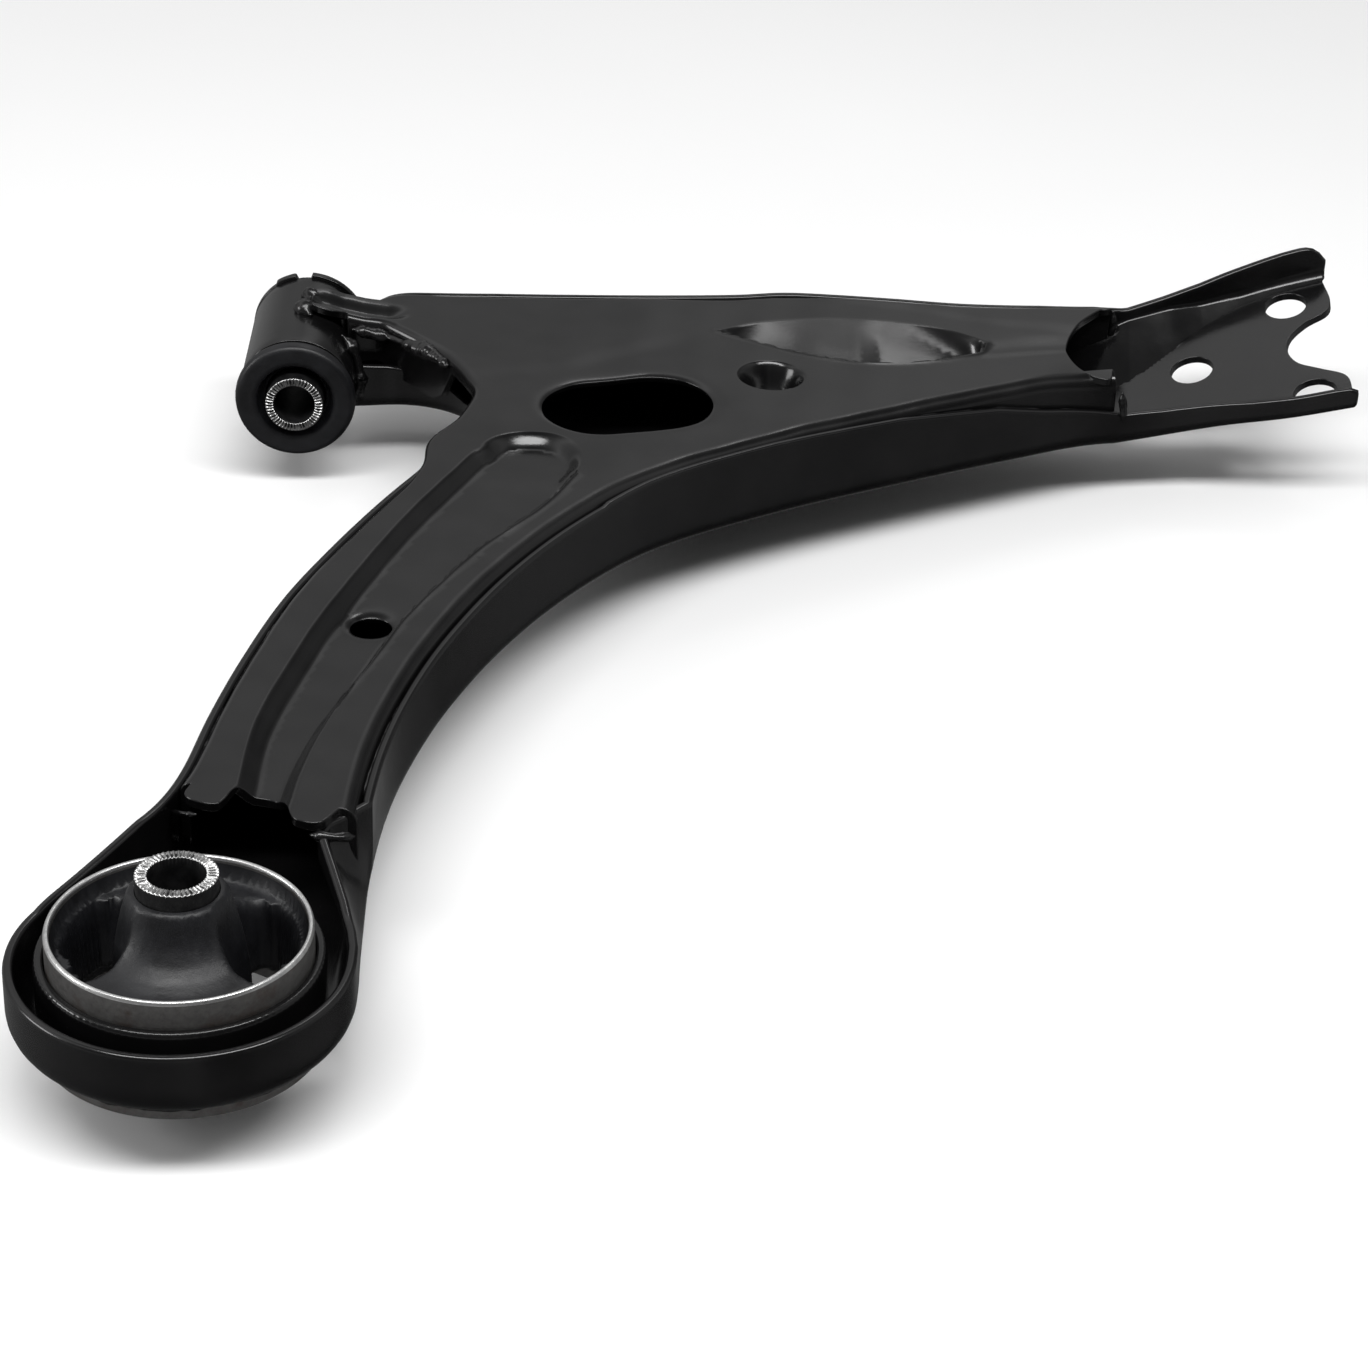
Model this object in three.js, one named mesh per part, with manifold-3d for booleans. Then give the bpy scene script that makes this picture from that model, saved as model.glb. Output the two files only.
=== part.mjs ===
// A stamped-steel front lower control arm for a compact car: two pressed shells welded into an
// L-shaped box, an upright bush at the rear, a lying bush at the front and a ball-joint plate outboard.
// Millimetres. While it is built, +X points outboard, +Y forward and +Z up, and the origin is the
// centre of the rear bush at the rim of its outer can. The finished group stands on z = 0, centred.
import * as THREE from "three";
import { mergeVertices } from "three/addons/utils/BufferGeometryUtils.js";
import Module from "manifold-3d";

const wasm = await Module();
wasm.setup();

// ---------------------------------------------------------------- driving dimensions
const SHEET = 2.6; // thickness of both pressed shells
const GAP = 0.3; // clearance kept between touching pieces
const FLOOR = -27; // underside of the lower shell
const LID = 60; // a height above the whole arm, for blanks that are trimmed afterwards
const COVER_TOP = 0; // flat top of the cover
const COVER_SKIRT = 18; // how far the cover's downturned edge reaches below its top
const EDGE_ROUND = 4; // rounding of the pressed edges, drawn as a chamfer
const INNER_ROUND = 2; // the same inside a pressed corner
const CUP_RADIUS = 42; // outside of the cup around the rear bush
const CUP_ARC = [2.44, 2 * Math.PI]; // where the cup's arc starts and ends, radians
const PLAN_CENTRE = { x: 148, y: 176.5 }; // middle of the finished arm's plan
const BEAD_STEP = 14; // the same along the leg's bead
const OUTLINE_STEP = 9; // length of one facet along a curved outline

const REAR = {
  sleeve: { bore: 7, radius: 10, top: 14.9, bottom: -45 },
  can: { radius: 32, wall: 1.5, top: 0, bottom: -32 },
  housing: { radius: 34.8, top: -7, bottom: -31 },
  sides: 48,
};
const FRONT = {
  x: 0,
  y: 349,
  z: -15,
  sleeve: { bore: 6.5, radius: 9.1, start: 315.6, end: 382.4 },
  tube: { radius: 18, wall: 2.4, start: 325.6, end: 374 },
  can: { radius: 15.3, wall: 1.4, start: 325, lip: 19, end: 377 },
  flange: { radius: 19, start: 318, end: 325.2, relief: 11.1, depth: 5 },
  sides: 36,
};
const BUSH_CENTRE_Z = -15; // both bushes are centred at this height

// The ball joint bolts to a plate that leans with the steering axis.
const PLATE = {
  point: new THREE.Vector3(289.6, 356.4, -12.6),
  normal: new THREE.Vector3(-0.235, -0.179, 1).normalize(),
  holes: [
    [323, 380.5],
    [326, 332],
    [290, 356.4],
  ],
  holeRadius: 6.6,
  openEdge: [[312, 326.5], [345, 325.5], [345, 390], [318, 388.5]], // no flange along the notched end
};

// Plan outline of the lower shell, counter-clockwise from the right of the cup.
const FRONT_SIDE = [
  [42, 0], [41.4, 30], [41.3, 55], [43.5, 84], [48.5, 112], [57.5, 144], [72.5, 181],
  [92, 215], [116, 243.5], [153, 269], [191, 290], [228, 309], [257, 322], [289, 325], [316, 322],
  [337.5, 321],
];
const PLATE_END = [
  [337.5, 321], [338, 330], [337, 338], [329, 344.5], [322, 350], [320.5, 357],
  [322.5, 364], [328, 370], [336, 374], [337.5, 381], [335.5, 395],
];
const BACK_SIDE = [
  [335.5, 395], [318, 393], [300, 388.5], [280, 382], [262, 377.5], [240, 375.5], [214, 375.5],
  [190, 378.5], [158, 381], [140, 378], [105, 375.5], [60, 374], [28, 374.5],
];
const NECK_END = [[28, 374.5], [22.5, 364], [8, 363.5], [8, 337]];
const NECK_SIDE = [
  [8, 337], [21, 338], [32, 340], [43, 337.5], [53, 330], [59, 317], [58, 300], [51, 277], [44, 250],
];
const LEG_SIDE = [
  [44, 250], [33, 227], [21, 198], [10, 167], [2, 134], [-4, 102], [-8, 74], [-13, 57], [-21, 43.5], [-32.1, 27.1],
];

// Height of the lower shell's rim, along y beside the leg and along x beside the arm.
const LEG_RIM = [[-60, -9.6], [18, -9.6], [50, -3.4], [120, -3], [250, -2], [345, -1.5], [410, -1.5]];
const FRONT_RIM = [
  [112, -2], [150, -2], [190, -3.4], [222, -7], [238, -11], [264, -16], [288, -12], [319, -5.5], [345, 0],
];
const BACK_RIM = [[112, -1.5], [240, -1.5], [262, -1], [280, 2], [300, 6.5], [318, 10.5], [345, 14.5]];

// Parts of the plan that the cover leaves open: over the cup, and over the ball-joint plate.
const COVER_CUT_AT_CUP = [
  [-60, 62], [-13, 61], [-5, 57], [3, 55], [8, 64], [20, 62], [24, 48], [33, 47], [48, 56],
  [70, 20], [0, -60], [-60, -20],
];
const COVER_CUT_AT_PLATE = [
  [262, 300], [261, 322], [252, 326], [246, 334], [246, 345], [250, 356], [263, 373], [264, 390],
  [360, 420], [360, 290],
];
// The open side of the box beside the neck: the low rim of the shell there, and the plan of the cut
// through the cover's skirt.
const WINDOW = {
  rim: [[8, -15], [40, -15], [53, -19], [66, -19]],
  span: [286, 345],
  plan: [[49, 286], [70, 286], [70, 340], [43, 340], [45, 318]],
};

// Recesses and holes of the cover.
const BEAD = {
  depth: 4,
  left: [[4, 50], [10, 75], [17, 112], [28, 155], [41, 199], [56, 236], [67, 258]],
  right: [[88, 256], [76, 229], [61, 199], [47, 168], [37, 142], [30, 112], [24, 80], [22, 44]],
};
const LEAF = {
  depth: 5,
  outline: [
    [136, 346], [150, 356], [172, 359], [194, 357], [210, 349], [211, 337], [196, 326], [180, 325], [158, 333],
  ],
};
const OBLONG = { x: 105, y: 292, length: 53, width: 37, turn: 0.28, steps: 8 };
const LEG_HOLE = { x: 35, y: 156, radius: 6 };
const DIMPLE = { x: 150, y: 315, mouth: 11, hole: 4.4, depth: 6 };
const SMALL_SIDES = 20; // facets round a small hole

// The strip of the cover that climbs over the front tube, from its free end to where it joins the flat.
const TONGUE = { x: 4.5, y: [343, 361.5], join: 32, lift: 0.6, lean: 0.98, steps: 5 };

// Seam beads run in the groove between the shell's wall and the cover's rounded edge.
const WELD = { radius: 1, thick: 1.3, inset: 4, drop: 1, sides: 6, step: 11 };
const SEAMS = {
  front: [[43, 66], [250, 316]],
  back: [[256, 374], [38, 371]],
  leg: [[42, 262], [-7, 68]],
};
const NECK_WELDS = {
  top: { angle: 1.43, y: [344, 361] },
  bottom: { angle: -0.757, y: [341, 360] },
  near: { y: 335.4, angles: [-0.6, -0.35, -0.1, 0.1] },
  far: { y: 365.5, angles: [-0.6, -0.2, 0.2, 0.6] },
  skirt: { from: [28, 340], to: [50, 333] },
};
const END_WELDS = {
  cover_end_weld_left: [[-9.4, 55, -6], [-5, 54.4, -4.6], [-1, 53, -3.4]],
  cover_end_weld_right: [[26, 45.3, -3.4], [33, 44.9, -3.6], [37, 47.4, -5]],
  plate_end_weld_front: [[263, 327, -20], [263, 327, -14], [263, 327, -8]],
  plate_end_weld_back: [[265.5, 373.8, -12], [265.5, 373.8, -7], [265.5, 373.8, -2]],
};

// Rubber of the rear bush: half profile as [radius, height from the middle], and its two voids.
const REAR_RUBBER = {
  profile: [[10.3, 25.5], [12.6, 25], [13.4, 21], [17.5, 15.5], [23, 12], [29, 10.5], [30.2, 9.5]],
  voids: { inner: 16, outer: 27, spread: 0.62, flare: 0.15, steps: 8 },
};
const LIP_NOTCH = { x: -2, width: 7, depth: 8 };

const COLOURS = {
  coat: { color: 0x0c0c0d, roughness: 0.22, metalness: 0.15 },
  weld: { color: 0x151516, roughness: 0.3, metalness: 0.2 },
  rubber: { color: 0x17181a, roughness: 0.7, metalness: 0 },
  steel: { color: 0xc9c9c6, roughness: 0.35, metalness: 0.9 },
  can: { color: 0x55534f, roughness: 0.45, metalness: 0.7 },
};

// ---------------------------------------------------------------- geometry helpers
// A closed geometry as a solid that can be cut and joined.
function solid(geometry) {
  const bare = geometry.clone();
  bare.deleteAttribute("normal");
  bare.deleteAttribute("uv");
  const merged = mergeVertices(bare, 1e-4);
  const triVerts = new Uint32Array(merged.index.array);
  const made = new wasm.Manifold(
    new wasm.Mesh({ numProp: 3, vertProperties: merged.attributes.position.array, triVerts }),
  );
  return made;
}

function geometryOf(made) {
  const mesh = made.getMesh();
  const geometry = new THREE.BufferGeometry();
  geometry.setAttribute("position", new THREE.Float32BufferAttribute(mesh.vertProperties, 3));
  geometry.setIndex(Array.from(mesh.triVerts));
  const flat = geometry.toNonIndexed();
  flat.computeVertexNormals();
  return flat;
}

const points = (list) => list.map(([x, y]) => new THREE.Vector2(x, y));

// A smooth run through the given points, with facets of about one outline step.
function run(list, step = OUTLINE_STEP) {
  const curve = new THREE.SplineCurve(points(list));
  return curve.getSpacedPoints(Math.max(1, Math.round(curve.getLength() / step)));
}

function arc(radius, start, end) {
  const curve = new THREE.EllipseCurve(0, 0, radius, radius, start, end);
  return curve.getSpacedPoints(Math.round((curve.getLength() / OUTLINE_STEP) * 1.5));
}

// Joins runs end to end into one closed ring without doubled points.
function ring(...runs) {
  const all = runs.flat();
  return all.filter((p, i) => p.distanceTo(all[(i + 1) % all.length]) > 0.05);
}

// The ring moved inwards by a distance, each corner along its mitre.
function inset(outline, distance) {
  const count = outline.length;
  return outline.map((p, i) => {
    const before = p.clone().sub(outline[(i + count - 1) % count]).normalize();
    const after = outline[(i + 1) % count].clone().sub(p).normalize();
    const normal = new THREE.Vector2(-before.y - after.y, before.x + after.x).normalize();
    const stretch = Math.max(0.6, normal.dot(new THREE.Vector2(-after.y, after.x)));
    return p.clone().addScaledVector(normal, distance / stretch);
  });
}

// A closed solid whose section is the ring, drawn in by an amount at each height.
function layered(outline, levels) {
  const rings = levels.map(([drawIn]) => inset(outline, drawIn));
  const count = outline.length;
  const position = rings.flatMap((r, k) => r.flatMap((p) => [p.x, p.y, levels[k][1]]));
  const index = [];
  for (let k = 0; k + 1 < rings.length; k += 1) {
    for (let i = 0; i < count; i += 1) {
      const a = k * count + i;
      const b = k * count + ((i + 1) % count);
      index.push(a, b, b + count, a, b + count, a + count);
    }
  }
  const last = (rings.length - 1) * count;
  THREE.ShapeUtils.triangulateShape(rings[0], []).forEach(([a, b, c]) => index.push(c, b, a));
  THREE.ShapeUtils.triangulateShape(rings[rings.length - 1], []).forEach(([a, b, c]) => {
    index.push(last + a, last + b, last + c);
  });
  const geometry = new THREE.BufferGeometry();
  geometry.setAttribute("position", new THREE.Float32BufferAttribute(position, 3));
  geometry.setIndex(index);
  return solid(geometry);
}

// An upright prism over a ring, from one height to another.
function prism(outline, bottom, top) {
  const geometry = new THREE.ExtrudeGeometry(new THREE.Shape(outline), { depth: top - bottom, bevelEnabled: false });
  geometry.translate(0, 0, bottom);
  return solid(geometry);
}

// Everything above a height profile drawn along x or along y, across a span of the other axis.
function above(profile, along, span) {
  const shape = new THREE.Shape(points([...profile, [profile.at(-1)[0], LID], [profile[0][0], LID]]));
  const geometry = new THREE.ExtrudeGeometry(shape, { depth: span[1] - span[0], bevelEnabled: false });
  geometry.rotateX(Math.PI / 2);
  if (along === "x") geometry.translate(0, span[1], 0);
  if (along === "y") geometry.rotateZ(Math.PI / 2).translate(span[0], 0, 0);
  return solid(geometry);
}

// A turned piece: its profile is [radius, height] points in order, closing on itself.
function turned(profile, sides, place = [0, 0, 0]) {
  const closed = points([...profile, profile[0]]);
  const geometry = new THREE.LatheGeometry(closed, sides);
  geometry.rotateX(Math.PI / 2);
  geometry.translate(...place);
  return solid(geometry);
}

// A turned piece lying along Y; its profile is [radius, y] points in order.
function turnedAlongY(profile, sides) {
  const closed = points([...profile, profile[0]]);
  const geometry = new THREE.LatheGeometry(closed, sides);
  geometry.translate(FRONT.x, 0, FRONT.z);
  return solid(geometry);
}

function tube(inner, outer, bottom, top) {
  return [[inner, bottom], [outer, bottom], [outer, top], [inner, top]];
}

const rod = (radius, bottom, top) => [[0, bottom], [radius, bottom], [radius, top], [0, top]];

// A round bar that follows a path, with flat ends.
function bar(path, radius, step = WELD.step) {
  const sides = WELD.sides;
  const curve = new THREE.CatmullRomCurve3(path.map((p) => new THREE.Vector3(...p)));
  const section = new THREE.Shape();
  for (let i = 0; i < sides; i += 1) {
    const angle = (2 * Math.PI * (i + 0.5)) / sides;
    const place = [radius * Math.cos(angle), radius * Math.sin(angle)];
    if (i === 0) section.moveTo(...place);
    else section.lineTo(...place);
  }
  section.closePath();
  const steps = Math.max(2, Math.round(curve.getLength() / step));
  return solid(new THREE.ExtrudeGeometry(section, { extrudePath: curve, steps, bevelEnabled: false }));
}

// A large block whose face lies on the ball-joint plate's plane, moved along its normal by an offset.
function plateBlock(offset, side) {
  const block = new THREE.BoxGeometry(260, 260, 80);
  block.translate(0, 0, 40 * side);
  const turn = new THREE.Quaternion().setFromUnitVectors(new THREE.Vector3(0, 0, 1), PLATE.normal);
  block.applyQuaternion(turn);
  const centre = PLATE.point.clone().addScaledVector(PLATE.normal, offset);
  block.translate(centre.x, centre.y, centre.z);
  return solid(block);
}

const belowPlate = (offset) => plateBlock(offset, -1);
const abovePlate = (offset) => plateBlock(offset, 1);

const plateHeight = (x, y) =>
  PLATE.point.z - (PLATE.normal.x * (x - PLATE.point.x) + PLATE.normal.y * (y - PLATE.point.y)) / PLATE.normal.z;

// ---------------------------------------------------------------- shells
const shellOutline = ring(
  run(FRONT_SIDE),
  run(PLATE_END, 5),
  run(BACK_SIDE),
  points(NECK_END),
  run(NECK_SIDE),
  run(LEG_SIDE),
  arc(CUP_RADIUS, ...CUP_ARC),
);

// The cover follows the same sides, but runs straight across the ball-joint plate.
const coverOutline = ring(
  run(FRONT_SIDE),
  run(BACK_SIDE),
  points(NECK_END),
  run(NECK_SIDE),
  run(LEG_SIDE),
  arc(CUP_RADIUS, ...CUP_ARC),
);

const housingClearance = turnedAlongY(rod(FRONT.tube.radius + GAP, 300, 400), FRONT.sides);

function plateHole([x, y]) {
  const hole = new THREE.CylinderGeometry(PLATE.holeRadius, PLATE.holeRadius, 30, 24);
  hole.rotateX(Math.PI / 2);
  const turn = new THREE.Quaternion().setFromUnitVectors(new THREE.Vector3(0, 0, 1), PLATE.normal);
  hole.applyQuaternion(turn);
  hole.translate(x, y, plateHeight(x, y));
  return solid(hole);
}

function lowerShell() {
  const outer = layered(shellOutline, [[EDGE_ROUND, FLOOR], [0, FLOOR + EDGE_ROUND], [0, LID]]);
  const inner = layered(shellOutline, [
    [SHEET + INNER_ROUND, FLOOR + SHEET],
    [SHEET, FLOOR + SHEET + INNER_ROUND],
    [SHEET, LID + 1],
  ]);
  let shell = outer.subtract(belowPlate(-SHEET)).subtract(inner.subtract(belowPlate(0)));
  shell = shell.subtract(above(LEG_RIM, "y", [-70, 112]));
  shell = shell.subtract(above(FRONT_RIM, "x", [220, 347]));
  shell = shell.subtract(above(BACK_RIM, "x", [345, 410]));
  shell = shell.subtract(above(WINDOW.rim, "x", WINDOW.span));
  shell = shell.subtract(turned(rod(REAR.housing.radius + GAP, FLOOR - 5, 0), REAR.sides));
  PLATE.holes.forEach((place) => {
    shell = shell.subtract(plateHole(place));
  });
  shell = shell.subtract(abovePlate(0).intersect(prism(points(PLATE.openEdge), FLOOR, LID)));
  return shell.subtract(housingClearance);
}

// A recess pressed into the cover: the tray of sheet to add, and the hollow to cut from it.
function pressing(drawn, depth) {
  const outline = THREE.ShapeUtils.isClockWise(drawn) ? drawn.toReversed() : drawn;
  const grown = inset(outline, -SHEET);
  return {
    add: prism(grown, COVER_TOP - depth - SHEET, COVER_TOP),
    cut: prism(outline, COVER_TOP - depth, COVER_TOP + 10),
  };
}

function oblongOutline() {
  const end = OBLONG.width / 2;
  const reach = OBLONG.length / 2 - end;
  const shape = [];
  for (const side of [1, -1]) {
    for (let i = 0; i <= OBLONG.steps; i += 1) {
      const angle = Math.PI * (i / OBLONG.steps - side / 2);
      shape.push(new THREE.Vector2(side * reach + end * Math.cos(angle), end * Math.sin(angle)));
    }
  }
  const centre = new THREE.Vector2(OBLONG.x, OBLONG.y);
  return shape.map((p) => p.rotateAround(new THREE.Vector2(), OBLONG.turn).add(centre));
}

// The tongue as a bent strap: an arc over the tube, then straight down to the flat of the cover.
function tongue() {
  const low = FRONT.tube.radius + GAP;
  const high = low + SHEET;
  const start = Math.acos(TONGUE.x / low);
  const bend = (radius) =>
    Array.from({ length: TONGUE.steps + 1 }, (_, i) => {
      const angle = start + ((TONGUE.lean - start) * i) / TONGUE.steps;
      return [radius * Math.cos(angle), FRONT.z + radius * Math.sin(angle)];
    });
  const foot = [
    [TONGUE.join, COVER_TOP - SHEET],
    [TONGUE.join, COVER_TOP],
    [high * Math.cos(TONGUE.lean) + 2 * SHEET, COVER_TOP + TONGUE.lift],
  ];
  const shape = new THREE.Shape(points([...bend(low), ...foot, ...bend(high).slice(0, -1).reverse()]));
  const [near, far] = TONGUE.y;
  const geometry = new THREE.ExtrudeGeometry(shape, { depth: far - near, bevelEnabled: false });
  geometry.rotateX(Math.PI / 2).translate(0, far, 0);
  return solid(geometry);
}

// The dimple's funnel: its sheet, and the hollow that goes through it.
function dimple() {
  const { mouth, hole, depth } = DIMPLE;
  const place = [DIMPLE.x, DIMPLE.y, COVER_TOP];
  const sheet = [[0, -depth - SHEET], [hole + SHEET, -depth - SHEET], [mouth + SHEET, -SHEET], [mouth, 0], [0, 0]];
  const hollow = [[0, FLOOR], [hole, FLOOR], [hole, -depth], [mouth, 0], [mouth, SHEET], [0, SHEET]];
  return { add: turned(sheet, SMALL_SIDES, place), cut: turned(hollow, SMALL_SIDES, place) };
}

function upperCover() {
  const edge = SHEET + GAP;
  const outer = layered(coverOutline, [
    [edge, COVER_TOP - COVER_SKIRT],
    [edge, COVER_TOP - EDGE_ROUND],
    [edge + EDGE_ROUND, COVER_TOP],
  ]);
  const inner = layered(coverOutline, [
    [edge + SHEET, COVER_TOP - COVER_SKIRT - 1],
    [edge + SHEET, COVER_TOP - EDGE_ROUND - 1],
    [edge + EDGE_ROUND + 1, COVER_TOP - SHEET],
  ]);
  const bead = pressing([...run(BEAD.left, BEAD_STEP), ...run(BEAD.right, BEAD_STEP)], BEAD.depth);
  const leaf = pressing(run([...LEAF.outline, LEAF.outline[0]]).slice(1), LEAF.depth);
  const recesses = [bead, leaf, dimple()];
  let cover = outer.subtract(inner).add(tongue());
  recesses.forEach((recess) => {
    cover = cover.add(recess.add);
  });
  recesses.forEach((recess) => {
    cover = cover.subtract(recess.cut);
  });
  const openings = [
    turned(rod(LEG_HOLE.radius, FLOOR, SHEET), SMALL_SIDES, [LEG_HOLE.x, LEG_HOLE.y, 0]),
    prism(oblongOutline(), FLOOR, SHEET),
    prism(points(COVER_CUT_AT_CUP).reverse(), FLOOR, SHEET),
    prism(points(COVER_CUT_AT_PLATE), FLOOR, SHEET),
    prism(points(WINDOW.plan), FLOOR, COVER_TOP - EDGE_ROUND),
    belowPlate(GAP),
    housingClearance,
  ];
  return openings.reduce((left, opening) => left.subtract(opening), cover);
}

// ---------------------------------------------------------------- bushes
function rearHousing() {
  const inner = REAR.can.radius + GAP;
  return turned(tube(inner, REAR.housing.radius, REAR.housing.bottom, REAR.housing.top), REAR.sides);
}

function rearCan() {
  const { radius, wall, bottom, top } = REAR.can;
  return turned(tube(radius - wall, radius, bottom, top), REAR.sides);
}

function rearSleeve() {
  const { bore, radius, bottom, top } = REAR.sleeve;
  return turned(tube(bore, radius, bottom, top), REAR.sides);
}

// The rear rubber: a waisted hub on the sleeve, a liner in the can, and two arms along Y.
function rearRubber() {
  const upper = REAR_RUBBER.profile.map(([r, h]) => [r, BUSH_CENTRE_Z + h]);
  const lower = REAR_RUBBER.profile.map(([r, h]) => [r, BUSH_CENTRE_Z - h]).reverse();
  const { inner, outer, spread, flare, steps } = REAR_RUBBER.voids;
  let rubber = turned([...upper, ...lower].reverse(), REAR.sides);
  for (const side of [0, Math.PI]) {
    const reach = (radius, from, to) =>
      Array.from({ length: steps + 1 }, (_, i) => {
        const angle = side + from + ((to - from) * i) / steps;
        return new THREE.Vector2(radius * Math.cos(angle), radius * Math.sin(angle));
      });
    const wide = spread + flare;
    const outline = [...reach(outer, -spread, spread), ...reach(inner, wide, -wide)];
    rubber = rubber.subtract(prism(outline, REAR.sleeve.bottom, REAR.sleeve.top));
  }
  return rubber;
}

function frontTube() {
  const { radius, wall, start, end } = FRONT.tube;
  return turnedAlongY(tube(radius - wall, radius, start, end), FRONT.sides);
}

// The front can: a thin tube whose rear end turns out into a lip, with a locating notch on top.
function frontCan() {
  const { radius, wall, start, lip, end } = FRONT.can;
  const outside = FRONT.tube.end + GAP;
  const profile = [
    [radius - wall, start], [radius, start], [radius, outside], [lip, outside], [lip, end], [radius - wall, end],
  ];
  const notch = new THREE.BoxGeometry(LIP_NOTCH.width, 2 * (end - outside) + 1, LIP_NOTCH.depth);
  notch.translate(LIP_NOTCH.x, end, FRONT.z + lip);
  return turnedAlongY(profile, FRONT.sides).subtract(solid(notch));
}

function frontSleeve() {
  const { bore, radius, start, end } = FRONT.sleeve;
  return turnedAlongY(tube(bore, radius, start, end), FRONT.sides);
}

// The front rubber: a bonded tube with a thrust flange in front and a thin flange behind.
function frontRubber() {
  const inner = FRONT.sleeve.radius + GAP;
  const outer = FRONT.can.radius - FRONT.can.wall - GAP;
  const { radius, start, end, relief, depth } = FRONT.flange;
  const back = FRONT.can.end + GAP;
  const front = FRONT.can.start - GAP;
  const profile = [
    [inner, start + depth], [relief, start + depth], [relief, start], [radius - 1.5, start], [radius, start + 1.5],
    [radius, front - 1.2], [radius - 1.2, front], [outer, front], [outer, back], [radius - 2.5, back],
    [radius - 2.5, back + 2.4], [inner, back + 2.4],
  ];
  return turnedAlongY(profile, FRONT.sides);
}

// ---------------------------------------------------------------- welds
// The stretch of the shell outline nearest from one plan point to another, counter-clockwise.
function stretch(from, to, drawIn) {
  const line = inset(shellOutline, drawIn);
  const nearest = ([x, y]) => {
    const distances = line.map((p) => Math.hypot(p.x - x, p.y - y));
    return distances.indexOf(Math.min(...distances));
  };
  const first = nearest(from);
  const last = nearest(to);
  const count = ((last - first + line.length) % line.length) + 1;
  return Array.from({ length: count }, (_, i) => line[(first + i) % line.length]);
}

const seam = (from, to) =>
  bar(stretch(from, to, WELD.inset).map((p) => [p.x, p.y, COVER_TOP - WELD.drop]), WELD.radius);

// A place on the tube's skin, lifted by the clearance and the bead's radius.
function onTube(angle, y, radius) {
  const reach = FRONT.tube.radius + GAP + radius;
  return [reach * Math.cos(angle), y, FRONT.z + reach * Math.sin(angle)];
}

// A straight bead along the tube, at a fixed angle above the horizontal.
const beadOnTube = ({ angle, y: [from, to] }, radius) =>
  bar([from, (from + to) / 2, to].map((y) => onTube(angle, y, radius)), radius);

// A bead that climbs the tube's side beside the wall of the neck.
const beadUpTube = ({ y, angles }, radius) =>
  bar(angles.map((angle) => onTube(angle, y, radius)), radius, WELD.step / 3);

// Height of a profile of [place, height] points at a place between them.
function heightOn(profile, place) {
  const next = profile.findIndex(([x]) => x >= place);
  const [x0, z0] = profile[next - 1];
  const [x1, z1] = profile[next];
  return z0 + ((z1 - z0) * (place - x0)) / (x1 - x0);
}

// The bead on top of the neck's low wall, against the skirt of the cover.
function skirtWeld() {
  const { from, to } = NECK_WELDS.skirt;
  const lift = WELD.radius + 2 * GAP;
  const path = stretch(from, to, SHEET - WELD.radius).map((p) => [p.x, p.y, heightOn(WINDOW.rim, p.x) + lift]);
  return bar(path, WELD.radius);
}

function housingWeld() {
  const { radius } = WELD;
  const centre = REAR.housing.radius + GAP + radius;
  const section = [];
  for (let i = 0; i < WELD.sides; i += 1) {
    const angle = (2 * Math.PI * i) / WELD.sides;
    section.push([centre + radius * Math.cos(angle), FLOOR - GAP - radius + radius * Math.sin(angle)]);
  }
  return turned(section, REAR.sides);
}

// ---------------------------------------------------------------- assembly
const arm = new THREE.Group();

function add(name, made, look) {
  const material = new THREE.MeshStandardMaterial(COLOURS[look]);
  const mesh = new THREE.Mesh(geometryOf(made), material);
  mesh.name = name;
  arm.add(mesh);
}

add("lower_shell", lowerShell(), "coat");
add("upper_cover", upperCover(), "coat");
add("front_bush_tube", frontTube(), "coat");
add("front_outer_can", frontCan(), "coat");
add("front_rubber", frontRubber(), "rubber");
add("front_inner_sleeve", frontSleeve(), "steel");
add("rear_bush_housing", rearHousing(), "coat");
add("rear_outer_can", rearCan(), "can");
add("rear_rubber", rearRubber(), "rubber");
add("rear_inner_sleeve", rearSleeve(), "steel");
Object.entries(SEAMS).forEach(([side, ends]) => add(`${side}_seam_weld`, seam(...ends), "weld"));
add("rear_housing_weld", housingWeld(), "weld");
add("neck_top_weld", beadOnTube(NECK_WELDS.top, WELD.thick), "weld");
add("neck_bottom_weld", beadOnTube(NECK_WELDS.bottom, WELD.radius), "weld");
add("neck_near_weld", beadUpTube(NECK_WELDS.near, WELD.radius), "weld");
add("neck_far_weld", beadUpTube(NECK_WELDS.far, WELD.radius), "weld");
add("neck_skirt_weld", skirtWeld(), "weld");
Object.entries(END_WELDS).forEach(([name, path]) => add(name, bar(path, WELD.radius), "weld"));

// Stand the finished arm on the plane z = 0, with its plan centred on the origin.
arm.position.set(-PLAN_CENTRE.x, -PLAN_CENTRE.y, -REAR.sleeve.bottom);

export default arm;
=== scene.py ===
"""Looks of a pressed-steel front lower control arm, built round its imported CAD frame.

Sheets, bushes and weld beads are modelled in millimetres from the centre of the rear bush, at the
height of its outer can's rim: +X points outboard, +Y forward and +Z up.
"""

import math

import bpy
import numpy as np
from mathutils import Matrix, Vector
from mathutils.geometry import delaunay_2d_cdt


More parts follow.
